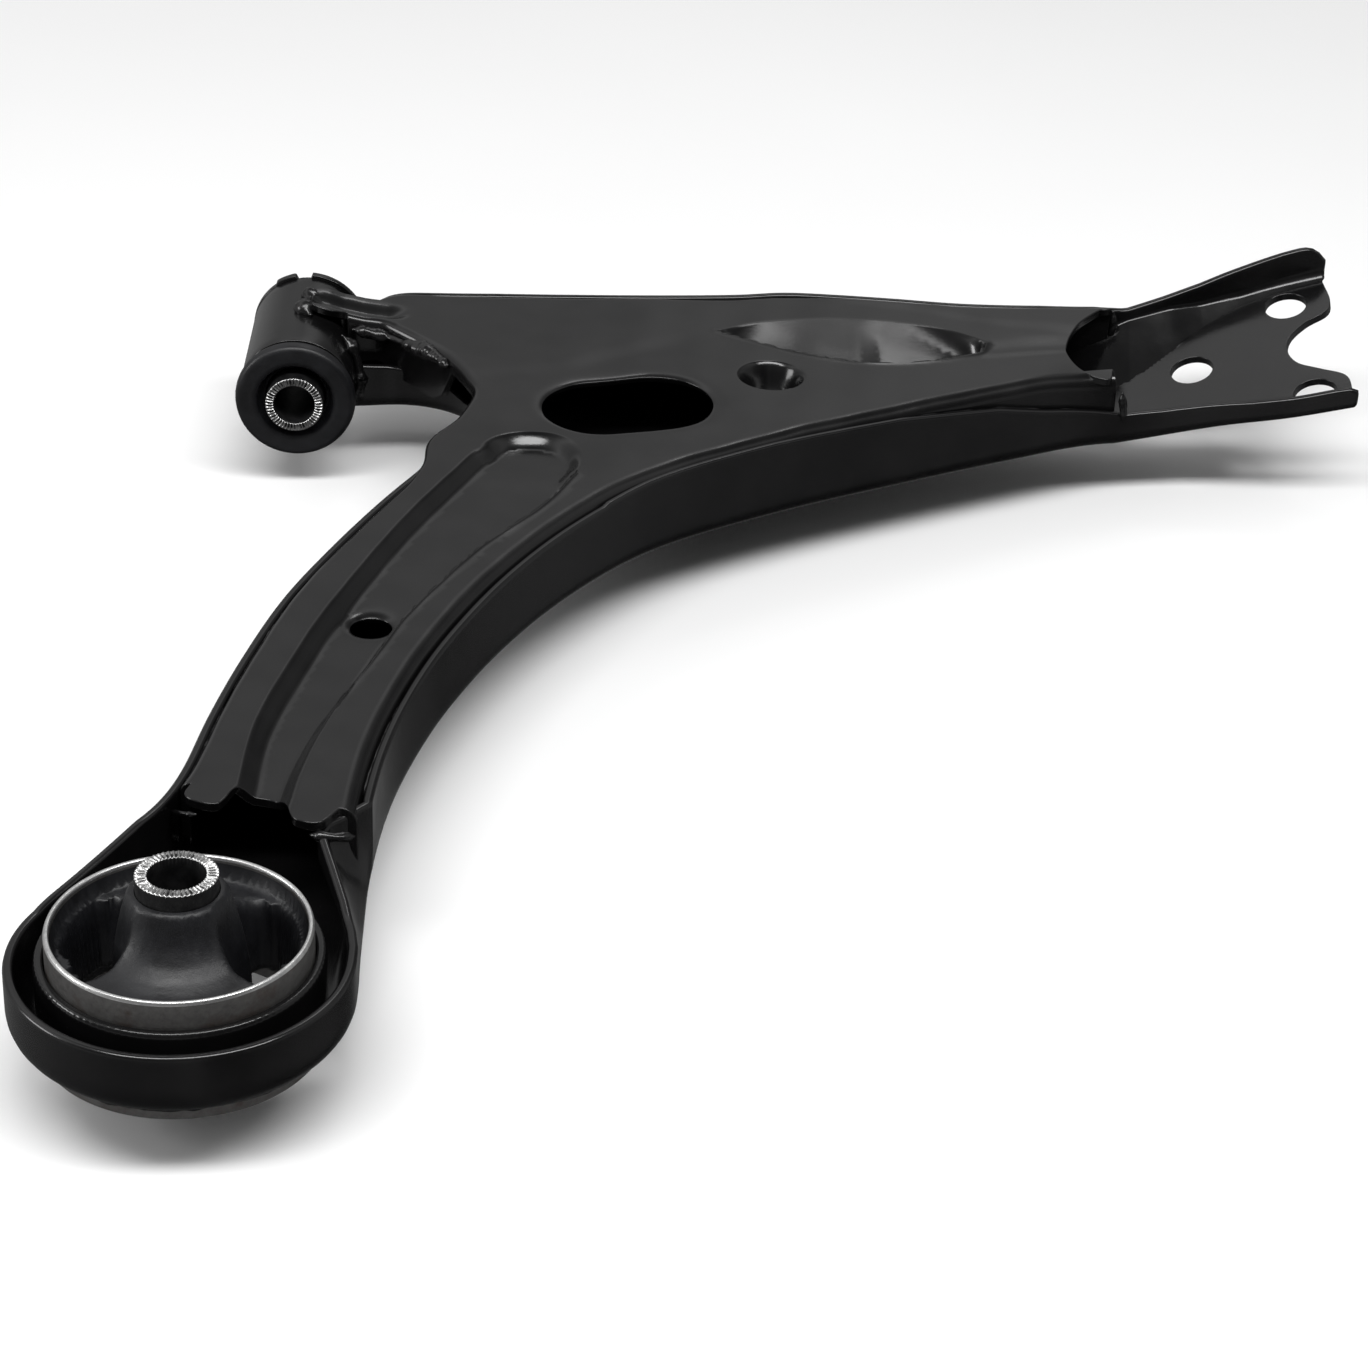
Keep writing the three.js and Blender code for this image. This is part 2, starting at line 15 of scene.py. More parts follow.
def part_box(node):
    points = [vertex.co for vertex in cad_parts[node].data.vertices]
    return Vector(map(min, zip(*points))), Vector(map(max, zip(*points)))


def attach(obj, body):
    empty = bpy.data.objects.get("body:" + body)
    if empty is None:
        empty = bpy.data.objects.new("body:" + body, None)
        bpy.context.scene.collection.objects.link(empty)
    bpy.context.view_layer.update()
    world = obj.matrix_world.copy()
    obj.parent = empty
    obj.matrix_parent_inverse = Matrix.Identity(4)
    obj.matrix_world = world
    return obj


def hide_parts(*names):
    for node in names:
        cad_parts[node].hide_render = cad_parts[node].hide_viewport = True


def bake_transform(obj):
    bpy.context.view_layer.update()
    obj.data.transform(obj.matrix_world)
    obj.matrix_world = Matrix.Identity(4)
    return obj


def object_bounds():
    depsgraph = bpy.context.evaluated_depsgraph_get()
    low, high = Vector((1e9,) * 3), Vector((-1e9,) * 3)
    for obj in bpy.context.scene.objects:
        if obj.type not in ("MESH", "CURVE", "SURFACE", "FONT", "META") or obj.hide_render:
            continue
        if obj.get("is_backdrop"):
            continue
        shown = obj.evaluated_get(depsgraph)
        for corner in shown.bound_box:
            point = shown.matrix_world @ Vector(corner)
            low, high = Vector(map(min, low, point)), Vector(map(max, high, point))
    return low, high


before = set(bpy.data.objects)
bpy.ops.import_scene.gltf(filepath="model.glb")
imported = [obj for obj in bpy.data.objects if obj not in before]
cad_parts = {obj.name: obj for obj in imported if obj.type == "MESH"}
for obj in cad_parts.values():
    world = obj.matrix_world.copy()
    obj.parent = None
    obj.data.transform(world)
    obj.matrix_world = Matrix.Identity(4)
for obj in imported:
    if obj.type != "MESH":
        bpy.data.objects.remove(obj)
cad_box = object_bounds()

# ---------------------------------------------------------------- sizes, in millimetres
MM = 0.001
SLEEVE_TOP, SLEEVE_BOTTOM = 14.9, -45
SHEET = 2.6
LIP = 0.4  # rounding of a cut sheet edge
ROUND_LIP = 1.15  # rounding along the top of a wall
FLOOR = -27.0
CLEARANCE = 0.3
CUP_RADIUS = 42.0
TUBE_Z, TUBE_RADIUS = -15.0, 18.0

sleeve_low, sleeve_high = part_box("rear_inner_sleeve")
ORIGIN = np.array(
    [
        (sleeve_low.x + sleeve_high.x) / 2,
        (sleeve_low.y + sleeve_high.y) / 2,
        sleeve_high.z - SLEEVE_TOP * MM,
    ]
)

FRONT_SIDE = [
    (42, 0), (41.4, 30), (41.3, 55), (43.5, 84), (48.5, 112), (57.5, 144), (72.5, 181), (92, 215),
    (116, 243.5), (153, 269), (191, 290), (228, 309), (257, 322), (289, 325), (316, 322),
    (336.2, 321.3),
]
PLATE_END = [
    (336.0, 326), (337.0, 331), (336.0, 338), (329, 343.6), (322.5, 349), (320.2, 356),
    (322, 363.5), (328, 369.8), (335.2, 374), (336.9, 380), (336.2, 388),
]
BACK_SIDE = [
    (335.5, 395), (318, 393), (300, 388.5), (280, 382), (262, 377.5), (240, 375.5), (214, 375.5),
    (190, 378.5), (158, 381), (140, 378), (105, 375.5), (60, 374), (31, 374.5),
]
NECK_FAR = [(31, 374.5), (26, 372), (22, 366), (18, 364.5), (14, 364.3)]
NECK_NEAR = [
    (14, 337.5), (21, 338), (32, 340), (43, 337.5), (53, 330), (59, 317), (58, 300), (51, 277),
    (44, 250),
]
LEG_SIDE = [
    (44, 250), (33, 227), (21, 198), (10, 167), (2, 134), (-4, 102), (-8, 74), (-13, 57),
    (-21, 43.5), (-32.1, 27.1),
]
CUP_START = 2.44


# ---------------------------------------------------------------- curves and distances
def resample(line, step):
    """Points about one step apart along a polyline."""
    lengths = np.linalg.norm(np.diff(line, axis=0), axis=1)
    along = np.concatenate([[0], np.cumsum(lengths)])
    count = max(1, round(along[-1] / step))
    places = np.linspace(0, along[-1], count + 1)
    return np.column_stack([np.interp(places, along, line[:, k]) for k in range(line.shape[1])])


def spline(points, step):
    """A smooth curve through the points, resampled evenly."""
    p = np.asarray(points, float)
    p = np.vstack([2 * p[0] - p[1], p, 2 * p[-1] - p[-2]])
    t = np.linspace(0, 1, 16, endpoint=False)[:, None]
    pieces = []
    for i in range(1, len(p) - 2):
        a, b, c, d = p[i - 1], p[i], p[i + 1], p[i + 2]
        pieces.append(
            0.5
            * (
                2 * b
                + (c - a) * t
                + (2 * a - 5 * b + 4 * c - d) * t**2
                + (3 * b - a - 3 * c + d) * t**3
            )
        )
    pieces.append(p[-2:-1])
    return resample(np.vstack(pieces), step)


def joined(*lines):
    """Several curves end to end, without doubled points."""
    out = [lines[0]]
    for line in lines[1:]:
        out.append(line[1:] if np.linalg.norm(line[0] - out[-1][-1]) < 0.2 else line)
    return np.vstack(out)


def relaxed(line, passes):
    """The polyline with its corners eased; its ends stay."""
    line = line.copy()
    for _ in range(passes):
        line[1:-1] = 0.5 * line[1:-1] + 0.25 * (line[:-2] + line[2:])
    return line


def left_of(line):
    """Unit normals on the left of a plan polyline."""
    tangent = np.gradient(line, axis=0)
    tangent /= np.linalg.norm(tangent, axis=1)[:, None]
    return np.column_stack([-tangent[:, 1], tangent[:, 0]])


MOVE_STEPS = 8


def moved_in(line, distance):
    """The polyline and its copies moved left, in even steps up to the distance."""
    distance = np.broadcast_to(distance, len(line))[:, None]
    out = [line]
    for _ in range(MOVE_STEPS):
        step = out[-1] + left_of(out[-1]) * distance / MOVE_STEPS
        out.append(relaxed(step, 1))
    return out


def smooth(t):
    """An S-curve from 0 at t = 0 to 1 at t = 1."""
    t = np.clip(t, 0, 1)
    return t * t * (3 - 2 * t)


def to_line(p, line):
    """Distance from each plan point to a polyline, and +1 on its left or -1 on its right."""
    a, b = line[:-1], line[1:]
    ab = b - a
    ap = p[:, None, :] - a[None]
    t = np.clip((ap * ab).sum(2) / (ab**2).sum(1), 0, 1)
    away = ap - t[:, :, None] * ab
    squared = (away**2).sum(2)
    nearest = squared.argmin(1)
    rows = np.arange(len(p))
    cross = ab[nearest, 0] * ap[rows, nearest, 1] - ab[nearest, 1] * ap[rows, nearest, 0]
    return np.sqrt(squared[rows, nearest]), np.where(cross >= 0, 1.0, -1.0)


def inside(p, ring):
    """Which plan points lie inside a closed ring."""
    a, b = ring, np.roll(ring, -1, axis=0)
    x, y = p[:, 0:1], p[:, 1:2]
    crosses = (a[:, 1] > y) != (b[:, 1] > y)
    rise = np.where(b[:, 1] == a[:, 1], 1e-9, b[:, 1] - a[:, 1])
    at = a[:, 0] + (y - a[:, 1]) * (b[:, 0] - a[:, 0]) / rise
    return (crosses & (x < at)).sum(1) % 2 == 1


def closed(ring):
    """A ring of points with its first point repeated at its end."""
    return np.vstack([ring, ring[:1]])


def depth_in(p, ring):
    """Distance inside a closed ring, negative outside."""
    distance, _ = to_line(p, closed(ring))
    return np.where(inside(p, ring), distance, -distance)


def circle(x, y, radius, step=1.0):
    """A ring of points about one step apart round a circle."""
    count = max(16, round(2 * math.pi * radius / step))
    angle = np.linspace(0, 2 * math.pi, count, endpoint=False)
    return np.column_stack([x + radius * np.cos(angle), y + radius * np.sin(angle)])


def along(table, at):
    """Linear interpolation in a table of (place, value) rows."""
    table = np.asarray(table, float)
    return np.interp(at, table[:, 0], table[:, 1])


# ---------------------------------------------------------------- meshes
def piece(name, verts, faces, material, body, nodes, normals=None):
    """A finished piece: design millimetres in, a riding object out."""
    mesh = bpy.data.meshes.new(name)
    mesh.from_pydata((ORIGIN + np.asarray(verts) * MM).tolist(), [], faces)
    mesh.update()
    mesh.materials.append(material)
    mesh.polygons.foreach_set("use_smooth", [True] * len(mesh.polygons))
    if normals is not None:
        mesh.normals_split_custom_set_from_vertices(normals.tolist())
    obj = bpy.data.objects.new(name, mesh)
    bpy.context.scene.collection.objects.link(obj)
    if body:
        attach(obj, body)
    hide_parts(*nodes)
    return obj


def unit(v):
    """Vectors at length one, and zero ones left as they are."""
    length = np.linalg.norm(v, axis=1)[:, None]
    return v / np.where(length < 1e-9, 1, length)


def thickened(verts, normals, faces, lip=LIP):
    """A sheet of even thickness below its outer skin, with every free edge rounded over by lip,
    which is one number or one for each corner."""
    used = {(a, b) for f in faces for a, b in zip(f, f[1:] + f[:1])}
    rim = [(a, b) for a, b in used if (b, a) not in used]
    rim.sort()
    outward = np.zeros_like(verts)
    for a, b in rim:
        run = verts[b] - verts[a]
        run /= max(np.linalg.norm(run), 1e-9)
        outward[a] += np.cross(run, normals[a])
        outward[b] += np.cross(run, normals[b])
    ids = sorted({v for edge in rim for v in edge})
    place = {v: i for i, v in enumerate(ids)}
    e, n, p = unit(outward[ids]), normals[ids], verts[ids]
    lip = np.broadcast_to(lip, len(verts))[ids][:, None]
    # (along the sheet, through the sheet) of each rounded row, and the same for its normal
    rows = []
    for angle in (30, 60, 90, 90, 60, 30):
        out, face = math.sin(math.radians(angle)), math.cos(math.radians(angle))
        if len(rows) < 3:
            rows.append((lip * out, lip * (1 - face), out, face))
        else:
            rows.append((lip * out, SHEET - lip * (1 - face), out, -face))
    all_verts = [verts, verts - SHEET * normals]
    all_normals = [normals, -normals]
    for out, down, ne, nn in rows:
        all_verts.append(p + out * e - down * n)
        all_normals.append(unit(ne * e + nn * n))
    count = len(verts)
    all_faces = list(faces) + [[v + count for v in reversed(f)] for f in faces]
    starts = [2 * count + k * len(ids) for k in range(len(rows))]
    for a, b in rim:
        chain_a = [a] + [s + place[a] for s in starts] + [a + count]
        chain_b = [b] + [s + place[b] for s in starts] + [b + count]
        for k in range(len(chain_a) - 1):
            all_faces.append([chain_b[k], chain_a[k], chain_a[k + 1], chain_b[k + 1]])
    return np.vstack(all_verts), all_faces, np.vstack(all_normals)


def staggered(low, high, across, up):
    """A grid of plan points with every second row shifted by half a step."""
    x, y = np.meshgrid(np.arange(low[0], high[0], across), np.arange(low[1], high[1], up))
    x[1::2] += across / 2
    return np.column_stack([x.ravel(), y.ravel()])


BLOCK = 2000  # points whose distances are worked out at one time


def kept(points, loops, edge_gap, others, gap):
    """Those of the points that are inside the first loop and outside the rest, more than
    edge_gap from every loop and more than gap from the others."""
    points = points[inside(points, loops[0])]
    for hole in loops[1:]:
        points = points[~inside(points, hole)]
    for loop in loops:
        points = points[to_line(points, closed(loop))[0] > edge_gap]
    if not len(points) or not len(others):
        return points
    squares = [
        ((points[k : k + BLOCK, None] - others[None]) ** 2).sum(2).min(1)
        for k in range(0, len(points), BLOCK)
    ]
    return points[np.concatenate(squares) > gap**2]


def triangulated(loops, points):
    """A mesh over the first loop outside the rest: its plan, its triangles, and the corner
    that each loop point and each given point became."""
    edges, first = [], 0
    for loop in loops:
        edges += [(first + i, first + (i + 1) % len(loop)) for i in range(len(loop))]
        first += len(loop)
    given = np.vstack(loops + [points])
    out = delaunay_2d_cdt([Vector(p) for p in given.tolist()], edges, [], 0, 1e-5)
    plan = np.array([tuple(v) for v in out[0]])
    where = {}
    for i, sources in enumerate(out[3]):
        for source in sources:
            where.setdefault(source, i)
    triangles = np.array([list(f) for f in out[2]])
    middle = plan[triangles].mean(1)
    good = inside(middle, loops[0])
    for hole in loops[1:]:
        good &= ~inside(middle, hole)
    return plan, triangles[good], where


FILLET_STEPS = 7
WALL_STEPS = 6
ROW_GAP = 0.45
GRID_GAP = 0.62  # of the grid's spacing
SQUAT = 0.866  # row pitch of the grid, of its spacing
SLOPE_STEP = 0.12
STEEPEST = 0.8  # radians of slope that a fillet may start from
LEAST_WALL = 0.3


def pressing(parts, height, side, holes, rows, spacing):
    """The open outer skin of a pressed sheet: corners, normals, faces, and the rounding that each
    corner gives a free edge. Its flat is a height over the plan, and side is -1 where its walls
    hang down and +1 where they stand up. parts go round it counter-clockwise: a wall is (line,
    corner radius, height of its free edge), a cut is (line,)."""
    boundary, walls = [], []
    for part in parts:
        if len(part) == 1:
            boundary.append(part[0])
            walls.append(None)
            continue
        copies = moved_in(part[0], part[1])
        boundary.append(copies[-1])
        walls.append((copies, part[1], part[2]))
    loops = [np.vstack(boundary)] + holes
    starts = np.cumsum([0] + [len(b) for b in boundary])

    points = np.zeros((0, 2))
    for row in rows:
        points = np.vstack([points, kept(row, loops, ROW_GAP, points, ROW_GAP)])
    corners = np.vstack(loops)
    grid = staggered(corners.min(0), corners.max(0), spacing, spacing * SQUAT)
    gap = GRID_GAP * spacing
    points = np.vstack([points, kept(grid, loops, gap, points, gap)])
    plan, triangles, where = triangulated(loops, points)

    def skin_normal(p):
        h = SLOPE_STEP
        dx = (height(p + [h, 0]) - height(p - [h, 0])) / (2 * h)
        dy = (height(p + [0, h]) - height(p - [0, h])) / (2 * h)
        up = unit(np.column_stack([-dx, -dy, np.ones(len(p))]))
        return up if side < 0 else -up

    verts = [np.column_stack([plan, height(plan)])]
    normals = [skin_normal(plan)]
    faces = (triangles if side < 0 else triangles[:, ::-1]).tolist()
    total = len(plan)
    for k, wall in enumerate(walls):
        if wall is None:
            continue
        copies, radius, rim = wall
        count = len(copies[0])
        radius = np.broadcast_to(radius, count)
        ids = [[where[starts[k] + i] for i in range(count)]]
        base = np.array([verts[0][i] for i in ids[0]])
        base_normal = np.array([normals[0][i] for i in ids[0]])
        outward = np.column_stack([-left_of(copies[0]), np.zeros(count)])
        slope = np.arctan2((base_normal * outward).sum(1), np.abs(base_normal[:, 2]))
        slope = relaxed(np.clip(slope, -0.2, STEEPEST)[:, None], 6)[:, 0]
        turn_radius = radius / (1 - np.sin(slope))
        upright = np.column_stack([np.zeros(count), np.zeros(count), -side * np.ones(count)])
        sideways = base_normal - (base_normal * outward).sum(1)[:, None] * outward
        sideways[:, 2] = 0
        stack = np.array(copies)
        levels = []
        for j in range(1, FILLET_STEPS + 1):
            angle = slope + (0.5 * math.pi - slope) * j / FILLET_STEPS
            spot = (1 - np.sin(angle)) / (1 - np.sin(slope)) * (len(copies) - 1)
            lower = np.clip(spot.astype(int), 0, len(copies) - 2)
            share = (spot - lower)[:, None]
            columns = np.arange(count)
            xy = stack[lower, columns] * (1 - share) + stack[lower + 1, columns] * share
            z = base[:, 2] + side * turn_radius * (np.cos(slope) - np.cos(angle))
            normal = upright * np.cos(angle)[:, None] + outward * np.sin(angle)[:, None]
            levels.append((xy, z, unit(normal + sideways * (1 - j / FILLET_STEPS))))
        top = levels[-1][1]
        rim = np.where(side * (rim - top) < LEAST_WALL, top + side * LEAST_WALL, rim)
        for j in range(1, WALL_STEPS + 1):
            levels.append((copies[0], top + (rim - top) * j / WALL_STEPS, outward))
        for xy, z, normal in levels:
            ids.append(list(range(total, total + count)))
            verts.append(np.column_stack([xy, z]))
            normals.append(normal)
            total += count
        for upper, lower in zip(ids, ids[1:]):
            for i in range(count - 1):
                face = [upper[i], lower[i], lower[i + 1], upper[i + 1]]
                faces.append(face if side < 0 else face[::-1])
    lips = np.where(np.arange(total) < len(plan), LIP, ROUND_LIP)
    return np.vstack(verts), np.vstack(normals), faces, lips


def averaged(verts, faces):
    """Unit normals of a mesh's corners, averaged from the faces round them."""
    normals = np.zeros_like(verts)
    for size in (3, 4):
        ids = np.array([f for f in faces if len(f) == size])
        if len(ids):
            corners = verts[ids]
            one = corners[:, size - 2] - corners[:, 0]
            other = corners[:, size - 1] - corners[:, size - 3]
            cross = np.cross(one, other)
            for k in range(size):
                np.add.at(normals, ids[:, k], cross)
    return unit(normals)


def turned(profile, sides, wobble=None):
    """Corners and faces of a solid turned about Z, from a closed (radius, height) profile."""
    profile = np.asarray(profile, float)
    count = len(profile)
    angle = np.linspace(0, 2 * math.pi, sides, endpoint=False)
    verts = []
    for a in angle:
        r, z = profile[:, 0].copy(), profile[:, 1].copy()
        if wobble is not None:
            r, z = wobble(a, r, z)
        verts.append(np.column_stack([r * math.cos(a), r * math.sin(a), z]))
    faces = []
    for i in range(sides):
        j = (i + 1) % sides
        for k in range(count):
            m = (k + 1) % count
            faces.append([i * count + k, j * count + k, j * count + m, i * count + m])
    return np.vstack(verts), faces


def rounded(profile, radius, steps=3):
    """A closed profile with each corner rounded by up to the radius."""
    p = np.asarray(profile, float)
    out = []
    for i in range(len(p)):
        a, b, c = p[i - 1], p[i], p[(i + 1) % len(p)]
        to_a, to_c = a - b, c - b
        la, lc = np.linalg.norm(to_a), np.linalg.norm(to_c)
        reach = min(radius, la / 2.2, lc / 2.2)
        start, end = b + to_a / la * reach, b + to_c / lc * reach
        for t in np.linspace(0, 1, steps + 1):
            out.append((1 - t) ** 2 * start + 2 * t * (1 - t) * b + t * t * end)
    return np.array(out)


def densified(profile, step):
    """A closed profile with its long straights divided."""
    p = np.asarray(profile, float)
    out = []
    for i in range(len(p)):
        a, b = p[i], p[(i + 1) % len(p)]
        count = max(1, int(np.linalg.norm(b - a) / step))
        out += [a + (b - a) * k / count for k in range(count)]
    return np.array(out)


def lying(verts):
    """A piece turned about Z laid along Y, on the front bush's axis: its height becomes y."""
    return np.column_stack([verts[:, 0], verts[:, 2], TUBE_Z - verts[:, 1]])


WELD_STEP, WELD_SIDES = 0.55, 12
FEW_POINTS = 40  # below this a weld's path is a few points to draw a smooth curve through


def bead(path, radius, seed, flatness, rough, ripple=1.6, ripple_depth=0.05):
    """A weld bead: a swept round with ripples across it and lumps along it, its ends tapered."""
    rng = np.random.default_rng(seed)
    line = (spline if len(path) < FEW_POINTS else resample)(np.asarray(path, float), WELD_STEP)
    count = len(line)
    tangent = unit(np.gradient(line, axis=0))
    up = np.tile([0.0, 0.0, 1.0], (count, 1))
    across = np.cross(tangent, up)
    across[np.linalg.norm(across, axis=1) < 1e-3] = [1, 0, 0]
    across = unit(across)
    up = np.cross(across, tangent)
    along_it = np.arange(count) * WELD_STEP

    def noise_line(length):
        knots = rng.normal(size=int(along_it[-1] / length) + 4)
        return np.interp(along_it / length, np.arange(len(knots)), knots)

    size = 1 + rough * noise_line(5.5) + 0.5 * rough * noise_line(2.2)
    size += ripple_depth * np.sin(2 * math.pi * along_it / ripple + noise_line(9))
    ends = np.minimum(along_it, along_it[-1] - along_it)
    size = np.clip(size, 0.55, 1.7) * (0.25 + 0.75 * smooth(ends / (1.8 * radius)))
    shift = 0.22 * radius * noise_line(7)
    sides = WELD_SIDES
    verts, faces = [], []
    for i in range(count):
        for s in range(sides):
            a = 2 * math.pi * s / sides
            wave = 1 + 0.06 * math.sin(3 * a + along_it[i])
            out = across[i] * (math.cos(a) * size[i] * radius * wave + shift[i])
            rise = up[i] * math.sin(a) * size[i] * radius * flatness * wave
            verts.append(line[i] + out + rise)
    for i in range(count - 1):
        for s in range(sides):
            t = (s + 1) % sides
            faces.append([i * sides + s, i * sides + t, (i + 1) * sides + t, (i + 1) * sides + s])
    faces.append(list(range(sides))[::-1])
    faces.append([(count - 1) * sides + s for s in range(sides)])
    return np.array(verts), faces


# ---------------------------------------------------------------- materials
def material(name, colour, roughness, metallic=0.0):
    """A new material with a plain shader, and the object's own coordinates for its textures."""
    made = bpy.data.materials.new(name)
    made.use_nodes = True
    tree = made.node_tree
    shader = tree.nodes["Principled BSDF"]
    shader.inputs["Base Color"].default_value = (*colour, 1)
    shader.inputs["Roughness"].default_value = roughness
    shader.inputs["Metallic"].default_value = metallic
    coords = tree.nodes.new("ShaderNodeTexCoord")
    return made, tree, shader, coords.outputs["Object"]


def node(tree, kind, inputs, output, **settings):
    """The output socket of a new node, whose inputs are set to numbers or linked to sockets."""
    made = tree.nodes.new("ShaderNode" + kind)
    for name, value in settings.items():
        setattr(made, name, value)
    for name, value in inputs.items():
        if isinstance(value, bpy.types.NodeSocket):
            tree.links.new(value, made.inputs[name])
        else:
            made.inputs[name].default_value = value
    return made.outputs[output]


def noise_node(tree, coords, scale, detail=4.0, rough=0.5):
    inputs = {"Vector": coords, "Scale": scale, "Detail": detail, "Roughness": rough}
    return node(tree, "TexNoise", inputs, "Fac")


def ramp(tree, value, stops):
    """A colour ramp over (place, colour) stops; a colour that is one number is a grey."""
    made = tree.nodes.new("ShaderNodeValToRGB")
    elements = made.color_ramp.elements
    while len(elements) < len(stops):
        elements.new(0.5)
    for element, (at, colour) in zip(elements, stops):
        element.position = at
        element.color = (*np.broadcast_to(colour, 3), 1)
    tree.links.new(value, made.inputs["Fac"])
    return made.outputs["Color"]


def spread(tree, value, low, high, start=0.3, end=0.7):
    """A value from start to end, spread from low to high."""
    inputs = {"Value": value, "From Min": start, "From Max": end, "To Min": low, "To Max": high}
    return node(tree, "MapRange", inputs, "Result")


MIX_A, MIX_B, MIX_RESULT = 6, 7, 2  # where a Mix node keeps its colours


def mixed(tree, factor, a, b, blend="MIX"):
    inputs = {"Factor": factor, MIX_A: a, MIX_B: b}
    return node(tree, "Mix", inputs, MIX_RESULT, data_type="RGBA", blend_type=blend)


def dressed(made, tree, shader, colour, roughness, bumps):
    """The material with its colour, its roughness and its bumps of (height, distance in metres,
    strength), each on top of the one before."""
    tree.links.new(colour, shader.inputs["Base Color"])
    tree.links.new(roughness, shader.inputs["Roughness"])
    normal = {}
    for value, distance, strength in bumps:
        inputs = {"Distance": distance, "Strength": strength, "Height": value}
        normal = {"Normal": node(tree, "Bump", inputs | normal, "Normal")}
    tree.links.new(normal["Normal"], shader.inputs["Normal"])
    return made


def coat_material(name, peel=1.0, gloss=0.17):
    """Glossy black dip coat: soft orange peel, faint runs, and a little settled dust."""
    made, tree, shader, coords = material(name, (0.004, 0.004, 0.0042), gloss)
    cloud = noise_node(tree, coords, 55, 5)
    grain = noise_node(tree, coords, 900, 2)
    specks = noise_node(tree, coords, 2600, 2, 0.7)
    tint = ramp(tree, cloud, [(0.3, (0.003, 0.003, 0.0032)), (0.72, (0.006, 0.0058, 0.006))])
    dust = ramp(tree, specks, [(0.70, 0), (0.76, 0.35)])
    colour = mixed(tree, dust, tint, (0.025, 0.025, 0.026, 1))
    roughness = spread(tree, cloud, gloss - 0.04, gloss + 0.07)
    bumps = [(cloud, 0.0006, 0.12 * peel), (grain, 0.00006, 0.25 * peel)]
    return dressed(made, tree, shader, colour, roughness, bumps)


def rubber_material():
    """Satin moulded rubber with bloom, flow marks and grain."""
    made, tree, shader, coords = material("rubber_satin", (0.02, 0.02, 0.022), 0.5)
    shader.inputs["Specular IOR Level"].default_value = 0.42
    bloom = noise_node(tree, coords, 130, 6, 0.6)
    grain = noise_node(tree, coords, 1500, 3, 0.6)
    tint = ramp(tree, bloom, [(0.3, (0.004, 0.004, 0.0048)), (0.75, (0.010, 0.0104, 0.0125))])
    bumps = [(bloom, 0.0004, 0.25), (grain, 0.00008, 0.5)]
    return dressed(made, tree, shader, tint, spread(tree, bloom, 0.36, 0.5), bumps)


def steel_material(name, dark, bright):
    """Cut steel in patches of two greys, with fine grain."""
    made, tree, shader, coords = material(name, (bright, bright, bright), 0.32, 1.0)
    patch = noise_node(tree, coords, 420, 5, 0.65)
    grain = noise_node(tree, coords, 3000, 2)
    tint = ramp(tree, patch, [(0.3, dark), (0.62, (bright, bright, 0.99 * bright))])
    bumps = [(patch, 0.00012, 0.5), (grain, 0.00003, 0.6)]
    return dressed(made, tree, shader, tint, spread(tree, patch, 0.45, 0.24), bumps)


def bore_material():
    """Dull oiled steel of the sleeves' sides and bores."""
    made, tree, shader, coords = material("sleeve_dull_steel", (0.03, 0.03, 0.031), 0.48, 0.3)
    patch = noise_node(tree, coords, 260, 5, 0.6)
    tint = ramp(tree, patch, [(0.3, (0.004, 0.004, 0.0045)), (0.7, (0.015, 0.015, 0.0155))])
    roughness = spread(tree, patch, 0.36, 0.55)
    return dressed(made, tree, shader, tint, roughness, [(patch, 0.0001, 0.4)])


def can_material():
    """Phosphated can: grey, with brown stains and faint drawing lines."""
    made, tree, shader, coords = material("can_phosphated", (0.1, 0.095, 0.09), 0.42, 0.55)
    stain = noise_node(tree, coords, 75, 6, 0.62)
    mottle = noise_node(tree, coords, 700, 5, 0.7)
    grey = ramp(tree, mottle, [(0.25, (0.085, 0.083, 0.081)), (0.8, (0.16, 0.156, 0.152))])
    brown = ramp(tree, stain, [(0.52, 0), (0.68, 0.8)])
    colour = mixed(tree, brown, grey, (0.06, 0.035, 0.025, 1))
    bumps = [(mottle, 0.0001, 0.5), (stain, 0.0003, 0.2)]
    return dressed(made, tree, shader, colour, spread(tree, mottle, 0.34, 0.55), bumps)


COAT = coat_material("coat_gloss_black")
WELD = coat_material("weld_gloss_black", peel=0.8, gloss=0.2)
RUBBER = rubber_material()
STEEL = steel_material("sleeve_bright_steel", 0.22, 0.56)
RIM_STEEL = steel_material("can_rim_steel", 0.5, 0.88)
DULL = bore_material()
CAN = can_material()

# ---------------------------------------------------------------- lower shell
PLATE_POINT = np.array([289.6, 356.4, -12.6])
PLATE_TILT = np.array([-0.235, -0.179])
PLATE_HOLES = [(323, 380.5), (326, 332), (290, 356.4)]
PLATE_HOLE_RADIUS = 6.6

front_side = spline(FRONT_SIDE, 2.0)
back_side = spline(BACK_SIDE, 2.0)
neck_far = spline(NECK_FAR, 2.0)
neck_near = spline(NECK_NEAR, 2.0)
leg_side = spline(LEG_SIDE, 2.0)
cup_angle = np.linspace(CUP_START, 2 * math.pi, 92)
cup = CUP_RADIUS * np.column_stack([np.cos(cup_angle), np.sin(cup_angle)])

shell_far = relaxed(joined(back_side, neck_far), 6)
shell_near = relaxed(joined(neck_near, leg_side, cup, front_side), 6)

